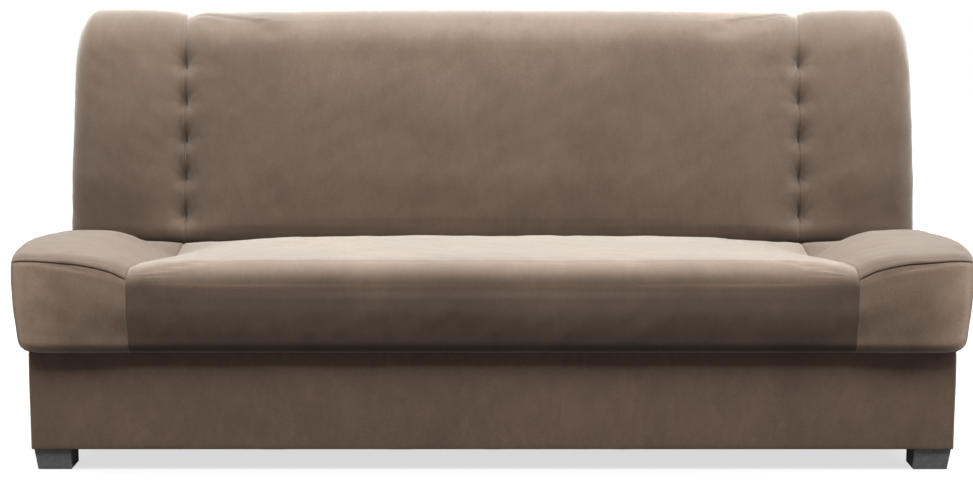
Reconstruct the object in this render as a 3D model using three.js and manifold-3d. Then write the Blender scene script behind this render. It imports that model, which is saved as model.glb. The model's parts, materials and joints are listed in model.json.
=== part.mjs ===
// A click-clack sofa bed: a bedding chest on four feet, with an upholstered seat and an upholstered back
// that turn on one pair of hinge pins. Millimetres; X across, Y from front to rear, Z up.
// The origin is on the floor, in the middle of the sofa's footprint.
import * as THREE from 'three';
import { mergeVertices } from 'three/addons/utils/BufferGeometryUtils.js';
import Module from 'manifold-3d';

const wasm = await Module();
wasm.setup();

// Driving dimensions of the whole sofa
const sofaWidth = 1934;            // across the padding of the back, the widest part
const seatNarrower = 3;            // the seat's padding, on each side
const seatReach = 591;             // hinge axis to the front of the seat
const backReach = 563;             // hinge axis to the top of the back
const backLean = 15;               // degrees from upright, as a sofa
const panelThickness = 156;        // underside of a panel to the edge of its padded face
const hingeDepth = 18;             // edge of the padded face down to the hinge axis
const hingeToPanel = 8;            // hinge axis to the near end of each panel
const restGap = 0.6;               // between a panel and the chest that it rests on
const fitGap = 0.3;                // between pieces that lie face to face
const cutOver = 5;                 // how far a cutting tool runs past what it cuts
const roundSides = 16;             // flats on a round hole or shaft
const mergeDistance = 0.001;       // corners nearer than this are one

// The chest
const sideOverhang = 30;           // back side past the chest side
const chestWidth = sofaWidth - sideOverhang * 2;
const chestDepth = 780;
const chestHeight = 200;
const seatOverhang = 38;           // seat front past the chest front
const boardThickness = 18;
const coverThickness = 1.5;
const floorThickness = 3.2;
const battenWidth = 45;
const battenHeight = 22;
const blockSide = 60;
const blockHeight = 58;

// The feet and their screws
const legHeight = 44;
const legTop = 75;
const legTaper = 6;                // its outward faces slope in by this much towards the floor
const legInset = 5;                // from the chest's outside
const legBoreRadius = 5;
const legCounterboreRadius = 11;
const legCounterboreDepth = 20;
const screwRadius = 4;
const screwLength = 66;
const screwHeadRadius = 8;
const screwHeadHeight = 5;

// The timber frame, springs, felt and cloth inside each panel
const railThickness = 22;
const railHeight = 70;
const crosspieceWidth = 45;
const crosspieceHeight = 46;
const clothThickness = 1.2;
const clothInset = 1;
const endWrap = 40;                // padding outside the frame at the far end
const hingeWrap = 28;              // and at the hinge end
const wireRadius = 2;
const tieRadius = 1.5;
const tieDrop = 0.4;               // the tie wires' middle below the springs'
const springCount = 6;
const springWidth = 46;
const springWaves = 6;
const springStepsPerWave = 4;
const springSpanShare = 0.86;      // of the frame's width, outer spring to outer spring
const tieShares = [0.32, 0.68];    // where the tie wires cross the springs, along the frame
const feltThickness = 4;
const feltSideInset = 70;          // from the frame's side, clear of the hinge arms

// The hinge: plates side by side on one pin
const plateThickness = 3.8;
const pinRadius = 7;
const pinClearance = 0.4;
const pinHeadRadius = 11;
const pinHeadHeight = 3.4;
const eyeRadius = 17;
const armWidth = 34;
const armLength = 300;
const armKneeRun = 54;             // along the rail, from the frame's near end to the full width
const bracketWidth = 28;
const bracketFootWidth = 150;
const bracketFootHeight = 90;
const bracketFootTop = 16;         // below the chest's top edge
const bracketLap = 10;
const studRadius = 4;
const studStripThickness = 2.7;
const studStripWidth = 20;
const studShort = 1.5;             // a stud ends this far inside the timber's far face
const armStudShares = [0.42, 0.9]; // along the arm
const footStudShare = 0.34;        // of the bracket foot's width, to each side

// The ratchet that makes the clicks
const clickAngle = 25;             // degrees
const clicksPastSofa = 2;          // the seat lifts this many clicks past the sofa position
const ratchetRadius = 20;
const notchDepth = 3.5;
const notchMouth = 8;
const notchFoot = 5.4;
const pawlPinPlace = { a: 22, t: -40 };
const pawlPinRadius = 4;
const pawlEyeRadius = 8;
const pawlStem = 9;
const pawlClearance = 0.6;
const pawlRelease = 5;             // degrees from engaged to clear of the teeth
const pawlHeadRadius = 6;
const pawlHeadHeight = 2;

// The padding of the seat
const seatWingWidth = { hinge: 267, far: 243 };
const seamGap = 0.4;
const seamValley = { depth: 6, width: 26 };
const seatFrontRise = 24;          // the face climbs by this much from the hinge end
const seatFrontRiseRun = 480;      // over this length
const seatCrown = { hinge: 26, far: 3 };
const seatSeamDip = 18;            // at the hinge end; it fades out towards the front
const seatDipWidth = 90;
const seatWingRise = 47;
const seatWingFall = 1;            // from the peak to where the outer rounding starts
const wingPeakShare = 0.5;         // of a bolster's width, from its seam
const seatCorner = { a: 50, t: 42 };
const seatSeamCorner = { a: 50, t: 38 };
const seatWingCorner = { a: 30, t: 16 };
const seatNose = { bulge: 5, tuck: 12, lip: 12 };
const hingeEndRadius = 45;
const riseRun = 150;               // over which the crown rises from the hinge end
const seamEndRun = 80;             // over which the seams' hollows start, from the hinge end

// The padding of the back
const backWingWidth = { hinge: 266, far: 257 };
const backCrown = 12;
const backWingRise = 20;
const backWingFall = 9;
const backCorner = { a: 115, t: 62 };
const backNose = { bulge: 0, tuck: 2, lip: 12 };
const backTopCrown = 7;            // rise of the top edge in the middle
const backTopDip = 6;              // drop of the top edge at the seams
const backTopDipWidth = 20;
const backOutlineRadius = 64;      // the top outer corner, seen from the front
const tuftFirst = 74;              // hinge axis to the lowest tuft
const tuftTopMargin = 137;         // highest tuft to the top of the back
const tuftCount = 5;
const tuft = { depth: 15, length: 16, width: 26 };

// Rounding of a bolster's outer side, in each direction, and how far the side draws in downwards
const seatSideRound = { x: 60, top: 14, end: 30, hinge: 18, bottom: 12 };
const backSideRound = { x: 46, top: 44, end: 26, hinge: 18, bottom: 26 };
const sideDraw = 11;

// How finely the padding is drawn
const arcSteps = 5;
const sideSteps = 4;
const centreSeamDistances = [0, 13, 30, 62, 120, 230, 400];
const wingShares = [0, 0.063, 0.15, 0.31, 0.52, 0.72, 0.89];  // of a bolster's width up to its rounding
const seatFaceStations = 9;
const noseShare = 0.6;             // how high on a panel's far face it reaches out the most
const tuftStationShares = [-0.3, -0.12, 0, 0.12, 0.3];

// Heights and places that follow from the sizes above
const chestTop = legHeight + chestHeight;
const hingeHeight = chestTop + restGap + panelThickness - hingeDepth;
const lean = THREE.MathUtils.degToRad(backLean);
const click = THREE.MathUtils.degToRad(clickAngle);
const underside = hingeDepth - panelThickness;
const backDepth = backReach * Math.sin(lean) - underside * Math.cos(lean);
const hingeY = (seatReach - backDepth) / 2;
const chestFront = hingeY - seatReach + seatOverhang;
const chestRear = chestFront + chestDepth;
const backHalfWidth = sofaWidth / 2;
const seatHalfWidth = backHalfWidth - seatNarrower;
const tuftPitch = (backReach - tuftTopMargin - tuftFirst) / (tuftCount - 1);
const boardOuter = chestWidth / 2 - coverThickness - fitGap;
const boardInner = boardOuter - boardThickness;
const boardBottom = legHeight + floorThickness + fitGap;
const railBottom = underside + clothThickness + fitGap;
const railTop = railBottom + railHeight;
const railMiddle = (railBottom + railTop) / 2;
const wireLevel = railTop + fitGap + wireRadius;
const feltBottom = wireLevel + wireRadius + fitGap;
const feltTop = feltBottom + feltThickness;
const frameNear = hingeToPanel + hingeWrap;

// The hinge plates' places across the sofa, from the side board inwards
const seatArmX = boardInner - fitGap - plateThickness;
const bracketX = seatArmX - fitGap - plateThickness;
const backArmX = bracketX - fitGap - plateThickness;
const pinInnerX = backArmX - fitGap - pinHeadHeight;
const pinOuterX = boardInner + pinHeadHeight;

const finishes = {
  velour: { color: '#7b6a5c', roughness: 0.85, metalness: 0 },
  chestVelour: { color: '#6a594c', roughness: 0.88, metalness: 0 },
  timber: { color: '#c9a877', roughness: 0.75, metalness: 0 },
  chipboard: { color: '#d2c09c', roughness: 0.8, metalness: 0 },
  hardboard: { color: '#8a6a48', roughness: 0.6, metalness: 0 },
  plastic: { color: '#3d3f40', roughness: 0.5, metalness: 0 },
  steel: { color: '#3a3c3e', roughness: 0.4, metalness: 0.9 },
  zinc: { color: '#b9bcc0', roughness: 0.35, metalness: 0.9 },
  felt: { color: '#5d5f63', roughness: 0.95, metalness: 0 },
  nonwoven: { color: '#2b2b2d', roughness: 0.95, metalness: 0 },
};

const sofa = new THREE.Group();
const seatGroup = new THREE.Group();
const backGroup = new THREE.Group();
seatGroup.position.set(0, hingeY, hingeHeight);
backGroup.position.set(0, hingeY, hingeHeight);
backGroup.rotation.x = Math.PI / 2 - lean;
sofa.add(seatGroup, backGroup);

// In a panel, a runs away from the hinge axis and t towards the padded face. The seat lies in front of
// the axis, and the back is drawn lying flat behind it, so that turn gives the way that a runs along y.
const panels = {
  seat: {
    group: seatGroup, turn: -1, reach: seatReach, armX: seatArmX, farRail: 'front', nearRail: 'rear',
    halfWidth: seatHalfWidth, round: seatSideRound, wingWidth: seatWingWidth,
  },
  back: {
    group: backGroup, turn: 1, reach: backReach, armX: backArmX, farRail: 'top', nearRail: 'bottom',
    halfWidth: backHalfWidth, round: backSideRound, wingWidth: backWingWidth,
  },
};
const sides = { left: -1, right: 1 };

function addPiece(group, name, geometry, finish) {
  const mesh = new THREE.Mesh(geometry, new THREE.MeshStandardMaterial(finishes[finish]));
  mesh.name = name;
  group.add(mesh);
}

// A closed geometry with shared vertices becomes a solid that can be cut and joined
function solidOf(geometry) {
  const bare = geometry.clone();
  bare.deleteAttribute('normal');
  bare.deleteAttribute('uv');
  const merged = mergeVertices(bare, mergeDistance);
  return new wasm.Manifold(new wasm.Mesh({
    numProp: 3,
    vertProperties: new Float32Array(merged.attributes.position.array),
    triVerts: new Uint32Array(merged.index.array),
  }));
}

function geometryOf(solid) {
  const mesh = solid.getMesh();
  const geometry = new THREE.BufferGeometry();
  geometry.setAttribute('position', new THREE.BufferAttribute(mesh.vertProperties, 3));
  geometry.setIndex(new THREE.BufferAttribute(mesh.triVerts, 1));
  geometry.computeVertexNormals();
  return geometry;
}

const cut = (geometry, tools) =>
  geometryOf(tools.reduce((solid, tool) => solid.subtract(solidOf(tool)), solidOf(geometry)));
const join = ([first, ...others]) =>
  geometryOf(others.reduce((solid, next) => solid.add(solidOf(next)), solidOf(first)));

function block(low, high) {
  const size = high.map((value, i) => value - low[i]);
  return new THREE.BoxGeometry(...size).translate(...low.map((value, i) => value + size[i] / 2));
}

// A block of a panel between two corners given as [x, a, t]
function panelBlock(panel, [x0, a0, t0], [x1, a1, t1]) {
  const ys = [panel.turn * a0, panel.turn * a1];
  return block([Math.min(x0, x1), Math.min(...ys), t0], [Math.max(x0, x1), Math.max(...ys), t1]);
}

const crossBar = (radius, x0, x1, y, z) =>
  new THREE.CylinderGeometry(radius, radius, Math.abs(x1 - x0), roundSides)
    .rotateZ(Math.PI / 2).translate((x0 + x1) / 2, y, z);
const uprightBar = (radius, z0, z1, x, y) =>
  new THREE.CylinderGeometry(radius, radius, z1 - z0, roundSides)
    .rotateX(Math.PI / 2).translate(x, y, (z0 + z1) / 2);

// A flat plate that stands along the sofa's side: an outline of [y, z] points, thick from x0 to x1
function plate(outline, holes, x0, x1) {
  const shape = new THREE.Shape(outline.map(([y, z]) => new THREE.Vector2(y, z)));
  const low = Math.min(x0, x1);
  const flat = new THREE.ExtrudeGeometry(shape, { depth: Math.abs(x1 - x0), bevelEnabled: false });
  const standing = flat.rotateX(Math.PI / 2).rotateZ(Math.PI / 2).translate(low, 0, 0);
  const bores = holes.map(([radius, y, z]) => crossBar(radius, x0 - cutOver, x1 + cutOver, y, z));
  return cut(standing, bores);
}

function arc(radius, from, to, steps) {
  const points = [];
  for (let i = 0; i <= steps; i++) {
    const angle = from + (to - from) * i / steps;
    points.push([radius * Math.cos(angle), radius * Math.sin(angle)]);
  }
  return points;
}

// A solid skinned over rings of [x, y, z] points; flats gives each end ring as points of a flat outline
function skin(rings, flats) {
  const count = rings[0].length;
  const index = [];
  for (let r = 0; r + 1 < rings.length; r++) {
    for (let i = 0; i < count; i++) {
      const here = r * count + i;
      const next = r * count + (i + 1) % count;
      index.push(here, next, here + count, next, next + count, here + count);
    }
  }
  flats.forEach((flat, last) => {
    const first = last * (rings.length - 1) * count;
    const outline = flat.map(([p, q]) => new THREE.Vector2(p, q));
    const forward = THREE.ShapeUtils.area(outline) > 0;
    for (const [i, j, k] of THREE.ShapeUtils.triangulateShape(outline, [])) {
      const along = THREE.ShapeUtils.area([outline[i], outline[j], outline[k]]) > 0;
      const face = (along === forward) === (last === 1) ? [i, j, k] : [i, k, j];
      index.push(...face.map((corner) => corner + first));
    }
  });
  const geometry = new THREE.BufferGeometry();
  geometry.setAttribute('position', new THREE.Float32BufferAttribute(rings.flat(2), 3));
  geometry.setIndex(index);
  return facedOut(geometry);
}

// Turns the faces over when the rings ran the other way round
function facedOut(geometry) {
  const at = geometry.attributes.position;
  const index = geometry.index.array;
  const corner = (i) => new THREE.Vector3().fromBufferAttribute(at, index[i]);
  let volume = 0;
  for (let i = 0; i < index.length; i += 3) volume += corner(i).dot(corner(i + 1).cross(corner(i + 2)));
  if (volume < 0) {
    for (let i = 0; i < index.length; i += 3) [index[i + 1], index[i + 2]] = [index[i + 2], index[i + 1]];
  }
  return geometry;
}

// The chest: boards, floor, batten, fabric cover
const frontBoardY = chestFront + coverThickness + fitGap;
const sideBoardY = frontBoardY + boardThickness + fitGap;
const rearBoardY = chestRear - boardThickness;
const legEdge = chestWidth / 2 - legInset;
const screwX = legEdge - legTop / 2;
const screwYs = { front: chestFront + legInset + legTop / 2, rear: chestRear - legInset - legTop / 2 };
const footTopZ = chestTop - bracketFootTop;
const footLowZ = footTopZ - bracketFootHeight;
const footStudZ = (footTopZ + footLowZ) / 2;
const footStudYs = [-1, 1].map((way) => hingeY + way * footStudShare * bracketFootWidth);

function addChestBoards() {
  addPiece(sofa, 'chest_front_board', block([-boardOuter, frontBoardY, boardBottom],
    [boardOuter, frontBoardY + boardThickness, chestTop]), 'chipboard');
  addPiece(sofa, 'chest_rear_board', block([fitGap - boardInner, rearBoardY, boardBottom],
    [boardInner - fitGap, chestRear, chestTop]), 'chipboard');
  for (const [word, side] of Object.entries(sides)) {
    const ends = [side * boardInner, side * boardOuter];
    const board = block([Math.min(...ends), sideBoardY, boardBottom],
      [Math.max(...ends), chestRear, chestTop]);
    const bores = footStudYs.map((y) =>
      crossBar(studRadius + fitGap, ends[0] - side * cutOver, ends[1] + side * cutOver, y, footStudZ));
    addPiece(sofa, `chest_side_board_${word}`, cut(board, bores), 'chipboard');
  }
  const floor = block([-boardOuter, frontBoardY, legHeight],
    [boardOuter, chestRear, legHeight + floorThickness]);
  const bores = Object.values(sides).flatMap((side) => Object.values(screwYs).map((y) =>
    uprightBar(legBoreRadius, legHeight - cutOver, boardBottom + cutOver, side * screwX, y)));
  addPiece(sofa, 'chest_floor', cut(floor, bores), 'hardboard');
  addPiece(sofa, 'chest_floor_batten', block([-battenWidth / 2, sideBoardY, boardBottom],
    [battenWidth / 2, rearBoardY - fitGap, boardBottom + battenHeight]), 'timber');
}

function addChestCover() {
  const outer = chestWidth / 2;
  const inner = outer - coverThickness;
  const innerFront = chestFront + coverThickness;
  const outline = [[-outer, chestFront], [outer, chestFront], [outer, chestRear], [inner, chestRear],
    [inner, innerFront], [-inner, innerFront], [-inner, chestRear], [-outer, chestRear]];
  const shape = new THREE.Shape(outline.map(([x, y]) => new THREE.Vector2(x, y)));
  const wrap = new THREE.ExtrudeGeometry(shape, { depth: chestHeight, bevelEnabled: false });
  addPiece(sofa, 'chest_cover', wrap.translate(0, 0, legHeight), 'chestVelour');
}

// A foot is square on top; the two faces on the sofa's outside slope in towards the floor
function footSolid(side, end) {
  const way = end === 'front' ? -1 : 1;
  const half = legTop / 2;
  const ring = (taper) => [[-1, -1], [1, -1], [1, 1], [-1, 1]].map(([p, q]) =>
    [p * half - (p === side ? side * taper : 0), q * half - (q === way ? way * taper : 0)]);
  const flats = [ring(legTaper), ring(0)];
  const rings = flats.map((flat, level) => flat.map(([x, y]) => [x, y, level * (legHeight - fitGap)]));
  return skin(rings, flats).translate(side * screwX, screwYs[end], 0);
}

function addFeet() {
  const headTop = legCounterboreDepth - fitGap;
  for (const [word, side] of Object.entries(sides)) {
    for (const [end, y] of Object.entries(screwYs)) {
      const x = side * screwX;
      addPiece(sofa, `leg_${end}_${word}`, cut(footSolid(side, end), [
        uprightBar(legBoreRadius, -cutOver, legHeight + cutOver, x, y),
        uprightBar(legCounterboreRadius, -cutOver, legCounterboreDepth, x, y)]), 'plastic');
      addPiece(sofa, `leg_screw_${end}_${word}`, join([
        uprightBar(screwHeadRadius, headTop - screwHeadHeight, headTop, x, y),
        uprightBar(screwRadius, headTop - screwHeadHeight / 2, headTop + screwLength, x, y)]), 'zinc');
      const blockXs = [side * (boardInner - fitGap), side * (boardInner - fitGap - blockSide)];
      const blockY = end === 'front' ? sideBoardY : rearBoardY - fitGap - blockSide;
      const corner = block([Math.min(...blockXs), blockY, boardBottom],
        [Math.max(...blockXs), blockY + blockSide, boardBottom + blockHeight]);
      const pilot = uprightBar(screwRadius + fitGap, boardBottom - cutOver,
        boardBottom + blockHeight + cutOver, x, y);
      addPiece(sofa, `corner_block_${end}_${word}`, cut(corner, [pilot]), 'timber');
    }
  }
}

// The bracket: a foot on the side board's inner face, joggled inwards to an eye on the hinge axis
function addBrackets() {
  const halfFoot = bracketFootWidth / 2;
  const halfNeck = bracketWidth / 2;
  const footMiddle = footTopZ - bracketFootHeight / 2;
  const foot = [[-halfFoot, footLowZ], [halfFoot, footLowZ], [halfFoot, footMiddle], [halfNeck, footTopZ],
    [-halfNeck, footTopZ], [-halfFoot, footMiddle]].map(([y, z]) => [hingeY + y, z]);
  const shoulder = Math.acos(halfNeck / eyeRadius);
  const eye = arc(eyeRadius, -shoulder, Math.PI + shoulder, roundSides)
    .map(([y, z]) => [hingeY + y, hingeHeight + z]);
  const upright = [[hingeY - halfNeck, footTopZ - bracketLap],
    [hingeY + halfNeck, footTopZ - bracketLap], ...eye];
  const stripHalf = footStudShare * bracketFootWidth + studStripWidth / 2;
  for (const [word, side] of Object.entries(sides)) {
    const outerFace = side * (boardInner - fitGap);
    const innerFace = side * bracketX;
    const lap = block([Math.min(outerFace, innerFace), hingeY - halfNeck, footTopZ - bracketLap],
      [Math.max(outerFace, innerFace), hingeY + halfNeck, footTopZ]);
    addPiece(sofa, `hinge_bracket_${word}`, join([
      plate(foot, footStudYs.map((y) => [studRadius + fitGap, y, footStudZ]), side * seatArmX, outerFace),
      lap,
      plate(upright, [[pinRadius + pinClearance, hingeY, hingeHeight]],
        innerFace, side * (bracketX + plateThickness))]), 'steel');
    addPiece(sofa, `hinge_pin_${word}`, join([
      crossBar(pinHeadRadius, side * pinInnerX, side * (pinInnerX + pinHeadHeight), hingeY, hingeHeight),
      crossBar(pinRadius, side * pinInnerX, side * pinOuterX, hingeY, hingeHeight),
      crossBar(pinHeadRadius, side * boardInner, side * pinOuterX, hingeY, hingeHeight)]), 'zinc');
    const stripOuter = side * (seatArmX - fitGap);
    const stripInner = stripOuter - side * studStripThickness;
    const studEnd = side * (boardOuter - studShort);
    addPiece(sofa, `bracket_studs_${word}`, join([
      block([Math.min(stripOuter, stripInner), hingeY - stripHalf, footStudZ - studStripWidth / 2],
        [Math.max(stripOuter, stripInner), hingeY + stripHalf, footStudZ + studStripWidth / 2]),
      ...footStudYs.map((y) => crossBar(studRadius, stripInner, studEnd, y, footStudZ))]), 'zinc');
  }
}

// A hinge arm: a disc on the pin, a neck that drops to the side rail, and a bar along the rail
const armLow = railMiddle - armWidth / 2;
const armHigh = railMiddle + armWidth / 2;
const armKnee = frameNear + armKneeRun;
const armStudPlaces = armStudShares.map((share) => share * armLength);

function armOutline(panel, disc) {
  const rest = [[frameNear, armLow], [armLength, armLow], [armLength, armHigh],
    [armKnee, armHigh]];
  return [...disc, ...rest].map(([a, t]) => [panel.turn * a, t]);
}

// The pawl's working place, worked out in the seat's a and t: its stem lies square to the ratchet's radius
// where its nose enters the teeth
const pawlReach = Math.hypot(pawlPinPlace.a, pawlPinPlace.t);
const engagedRadius = ratchetRadius - notchDepth / 2;
const pawlLength = Math.sqrt(pawlReach ** 2 - engagedRadius ** 2);
const pawlPinAngle = Math.atan2(pawlPinPlace.t, -pawlPinPlace.a);
const noseAngle = pawlPinAngle + Math.PI * 2 - Math.acos(engagedRadius / pawlReach);

// The back's disc carries one notch for each click from the lifted seat to the flat bed
function ratchetDisc() {
  const clicksToBed = Math.round((Math.PI / 2 - lean) / click);
  const points = [];
  const stepAngle = Math.PI * 2 / (roundSides * 2);
  let angle = 0;
  for (let k = -clicksPastSofa; k <= clicksToBed; k++) {
    const middle = noseAngle - (Math.PI / 2 - lean) + k * click;
    const mouth = notchMouth / 2 / ratchetRadius;
    const foot = notchFoot / 2 / (ratchetRadius - notchDepth);
    for (; angle < middle - mouth; angle += stepAngle) points.push([ratchetRadius, angle]);
    points.push([ratchetRadius, middle - mouth], [ratchetRadius - notchDepth, middle - foot],
      [ratchetRadius - notchDepth, middle + foot], [ratchetRadius, middle + mouth]);
    angle = middle + mouth + stepAngle / 2;
  }
  for (; angle < Math.PI * 1.5; angle += stepAngle) points.push([ratchetRadius, angle]);
  points.push([ratchetRadius, Math.PI * 1.5]);
  return points.map(([radius, at]) => [radius * Math.cos(at), radius * Math.sin(at)]);
}

function addArms() {
  const discs = { seat: arc(eyeRadius, 0, Math.PI * 1.5, roundSides), back: ratchetDisc() };
  for (const [panelName, panel] of Object.entries(panels)) {
    const outline = armOutline(panel, discs[panelName]);
    const studHoles = armStudPlaces.map((a) => [studRadius + fitGap, panel.turn * a, railMiddle]);
    const pawlHole = [pawlPinRadius + fitGap, panel.turn * pawlPinPlace.a, pawlPinPlace.t];
    const holes = [[pinRadius + pinClearance, 0, 0], ...studHoles];
    if (panelName === 'seat') holes.push(pawlHole);
    for (const [word, side] of Object.entries(sides)) {
      const inner = side * panel.armX;
      const arm = plate(outline, holes, inner, inner + side * plateThickness);
      addPiece(panel.group, `${panelName}_arm_${word}`, arm, 'steel');
      const stripOuter = inner - side * fitGap;
      const stripInner = stripOuter - side * studStripThickness;
      const studEnd = inner + side * (plateThickness + fitGap + railThickness - studShort);
      const margin = studStripWidth / 2;
      const studs = armStudPlaces.map((a) =>
        crossBar(studRadius, stripInner, studEnd, panel.turn * a, railMiddle));
      addPiece(panel.group, `${panelName}_arm_studs_${word}`, join([
        panelBlock(panel, [stripInner, armStudPlaces[0] - margin, railMiddle - margin],
          [stripOuter, armStudPlaces[1] + margin, railMiddle + margin]), ...studs]), 'zinc');
    }
  }
}

// The pawls hang on the seat's arms in the ratchet's plane, swung just clear of the teeth. The outline is
// drawn along the stem and across it towards the hinge axis, and then turned to its place.
function pawlOutline(releaseDegrees) {
  const engagedTip = engagedRadius - (ratchetRadius - notchDepth + pawlClearance);
  const shank = engagedRadius - ratchetRadius - pawlClearance * 2;
  const halfFoot = notchFoot / 2 - pawlClearance;
  const halfMouth = notchMouth / 2 - pawlClearance;
  const tipEnd = pawlLength + halfMouth + pawlClearance;
  const eye = arc(pawlEyeRadius, Math.PI / 2, Math.PI * 1.5, roundSides / 2);
  const outline = [...eye, [tipEnd, shank - pawlStem], [tipEnd, shank],
    [pawlLength + halfMouth, shank], [pawlLength + halfFoot, engagedTip],
    [pawlLength - halfFoot, engagedTip], [pawlLength - halfMouth, shank],
    [pawlLength - halfMouth - pawlEyeRadius, shank]];
  const stemAngle = Math.atan2(engagedRadius * Math.sin(noseAngle) - pawlPinPlace.t,
    engagedRadius * Math.cos(noseAngle) + pawlPinPlace.a);
  const turned = stemAngle + THREE.MathUtils.degToRad(releaseDegrees);
  return outline.map(([u, v]) => [
    -pawlPinPlace.a + u * Math.cos(turned) + v * Math.sin(turned),
    pawlPinPlace.t + u * Math.sin(turned) - v * Math.cos(turned)]);
}

const pawlShape = pawlOutline(pawlRelease);
const pawlTop = Math.max(...[...pawlShape, ...pawlOutline(0)].map(([, t]) => t));

function addPawls() {
  const pinHole = [pawlPinRadius + pinClearance, -pawlPinPlace.a, pawlPinPlace.t];
  for (const [word, side] of Object.entries(sides)) {
    const inner = side * backArmX;
    const outer = inner + side * plateThickness;
    addPiece(seatGroup, `pawl_${word}`, plate(pawlShape, [pinHole], inner, outer), 'steel');
    const rivet = [
      [pawlHeadRadius, inner - side * (fitGap + pawlHeadHeight), inner - side * fitGap],
      [pawlPinRadius, inner - side * (fitGap + pawlHeadHeight), side * (boardInner + pawlHeadHeight)],
      [pawlHeadRadius, outer + side * fitGap, side * (seatArmX - fitGap)],
      [pawlHeadRadius, side * boardInner, side * (boardInner + pawlHeadHeight)],
    ];
    addPiece(seatGroup, `pawl_rivet_${word}`, join(rivet.map(([radius, x0, x1]) =>
      crossBar(radius, x0, x1, -pawlPinPlace.a, pawlPinPlace.t))), 'zinc');
  }
}

// The timber frame of a panel, with its crosspiece, springs, felt and underside cloth
function addFrame(panelName) {
  const panel = panels[panelName];
  const frameFar = panel.reach - endWrap;
  const railInner = panel.armX + plateThickness + fitGap;
  const frameOuter = railInner + railThickness;
  const nearHalf = panel.armX - fitGap;
  const farHalf = railInner - fitGap;
  const add = (name, low, high, finish = 'timber') =>
    addPiece(panel.group, `${panelName}_${name}`, panelBlock(panel, low, high), finish);
  add(`rail_${panel.nearRail}`, [-nearHalf, frameNear, railBottom],
    [nearHalf, frameNear + railThickness, railTop]);
  add(`rail_${panel.farRail}`, [-farHalf, frameFar - railThickness, railBottom],
    [farHalf, frameFar, railTop]);
  for (const [word, side] of Object.entries(sides)) {
    const rail = panelBlock(panel, [side * railInner, frameNear, railBottom],
      [side * frameOuter, frameFar, railTop]);
    const bores = armStudPlaces.map((a) => crossBar(studRadius + fitGap, side * (railInner - cutOver),
      side * (frameOuter + cutOver), panel.turn * a, railMiddle));
    addPiece(panel.group, `${panelName}_rail_${word}`, cut(rail, bores), 'timber');
  }
  add('crosspiece', [-crosspieceWidth / 2, frameNear + railThickness + fitGap, railBottom],
    [crosspieceWidth / 2, frameFar - railThickness - fitGap, railBottom + crosspieceHeight]);
  add('felt', [feltSideInset - frameOuter, frameNear, feltBottom],
    [frameOuter - feltSideInset, frameFar, feltTop], 'felt');
  add('underside_cloth', [clothInset - frameOuter, frameNear + clothInset, underside],
    [frameOuter - clothInset, frameFar - clothInset, underside + clothThickness], 'nonwoven');
  addPiece(panel.group, `${panelName}_springs`, springMat(panel, frameOuter, frameFar), 'steel');
}

// A wave spring lies flat between the two end rails
class WaveLine extends THREE.Curve {
  constructor(x, from, to) {
    super();
    Object.assign(this, { x, from, to });
  }

  getPoint(share, target = new THREE.Vector3()) {
    const swing = Math.sin(share * springWaves * Math.PI * 2) * springWidth / 2;
    return target.set(this.x + swing, this.from + (this.to - this.from) * share, wireLevel);
  }

  getPointAt(share, target) {
    return this.getPoint(share, target);
  }

  getTangentAt(share, target) {
    return this.getTangent(share, target);
  }
}

const wireSection = (radius) =>
  new THREE.Shape(arc(radius, 0, Math.PI * 1.5, 3).map(([p, q]) => new THREE.Vector2(p, q)));

function springMat(panel, frameOuter, frameFar) {
  const from = panel.turn * (frameNear + railThickness / 2);
  const to = panel.turn * (frameFar - railThickness / 2);
  const span = frameOuter * springSpanShare;
  const wires = [];
  for (let i = 0; i < springCount; i++) {
    const x = span * (2 * i / (springCount - 1) - 1);
    wires.push(new THREE.ExtrudeGeometry(wireSection(wireRadius),
      { steps: springWaves * springStepsPerWave, extrudePath: new WaveLine(x, from, to) }));
  }
  for (const share of tieShares) {
    const y = THREE.MathUtils.lerp(from, to, share);
    const ends = [-1, 1].map((way) =>
      new THREE.Vector3(way * (span + springWidth), y, wireLevel - tieDrop));
    wires.push(new THREE.ExtrudeGeometry(wireSection(tieRadius),
      { steps: 1, extrudePath: new THREE.LineCurve3(...ends) }));
  }
  return join(wires);
}

// Padding
const smooth = (share) => {
  const s = THREE.MathUtils.clamp(share, 0, 1);
  return s * s * (3 - 2 * s);
};
const hump = (distance, width) => Math.exp(-((distance / width) ** 2));
const riseAt = (a) => smooth((a - hingeToPanel - hingeEndRadius / 3) / riseRun);
const tuftAt = (a) => {
  let depth = 0;
  for (let i = 0; i < tuftCount; i++) depth += hump(a - tuftFirst - i * tuftPitch, tuft.length);
  return depth;
};
const wingDome = (share, rise, fall) => {
  const past = Math.max(0, (share - wingPeakShare) / (1 - wingPeakShare));
  return rise * smooth(share / wingPeakShare) - fall * past ** 2;
};

// A seam's distance from the middle of the sofa
const seamAt = ({ halfWidth, wingWidth, reach }, a) =>
  halfWidth - THREE.MathUtils.lerp(wingWidth.hinge, wingWidth.far, a / reach);

// The hollow along a seam, which starts a little way from the hinge end
const seamHollow = (a, d) =>
  seamValley.depth * hump(d, seamValley.width) * smooth((a - hingeToPanel) / seamEndRun);
const seatDip = (a, d) => seatSeamDip * hump(d, seatDipWidth)
  * (1 - smooth(a / seatReach)) * smooth((a - hingeToPanel) / seamEndRun);
const seatLevel = (a) => seatFrontRise * Math.min(a / seatFrontRiseRun, 1);
const seatCrownAt = (a) =>
  THREE.MathUtils.lerp(seatCrown.hinge, seatCrown.far, a / seatReach) * riseAt(a);
const blendCorners = (first, second, share) => ({
  a: THREE.MathUtils.lerp(first.a, second.a, share), t: THREE.MathUtils.lerp(first.t, second.t, share),
});

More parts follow.
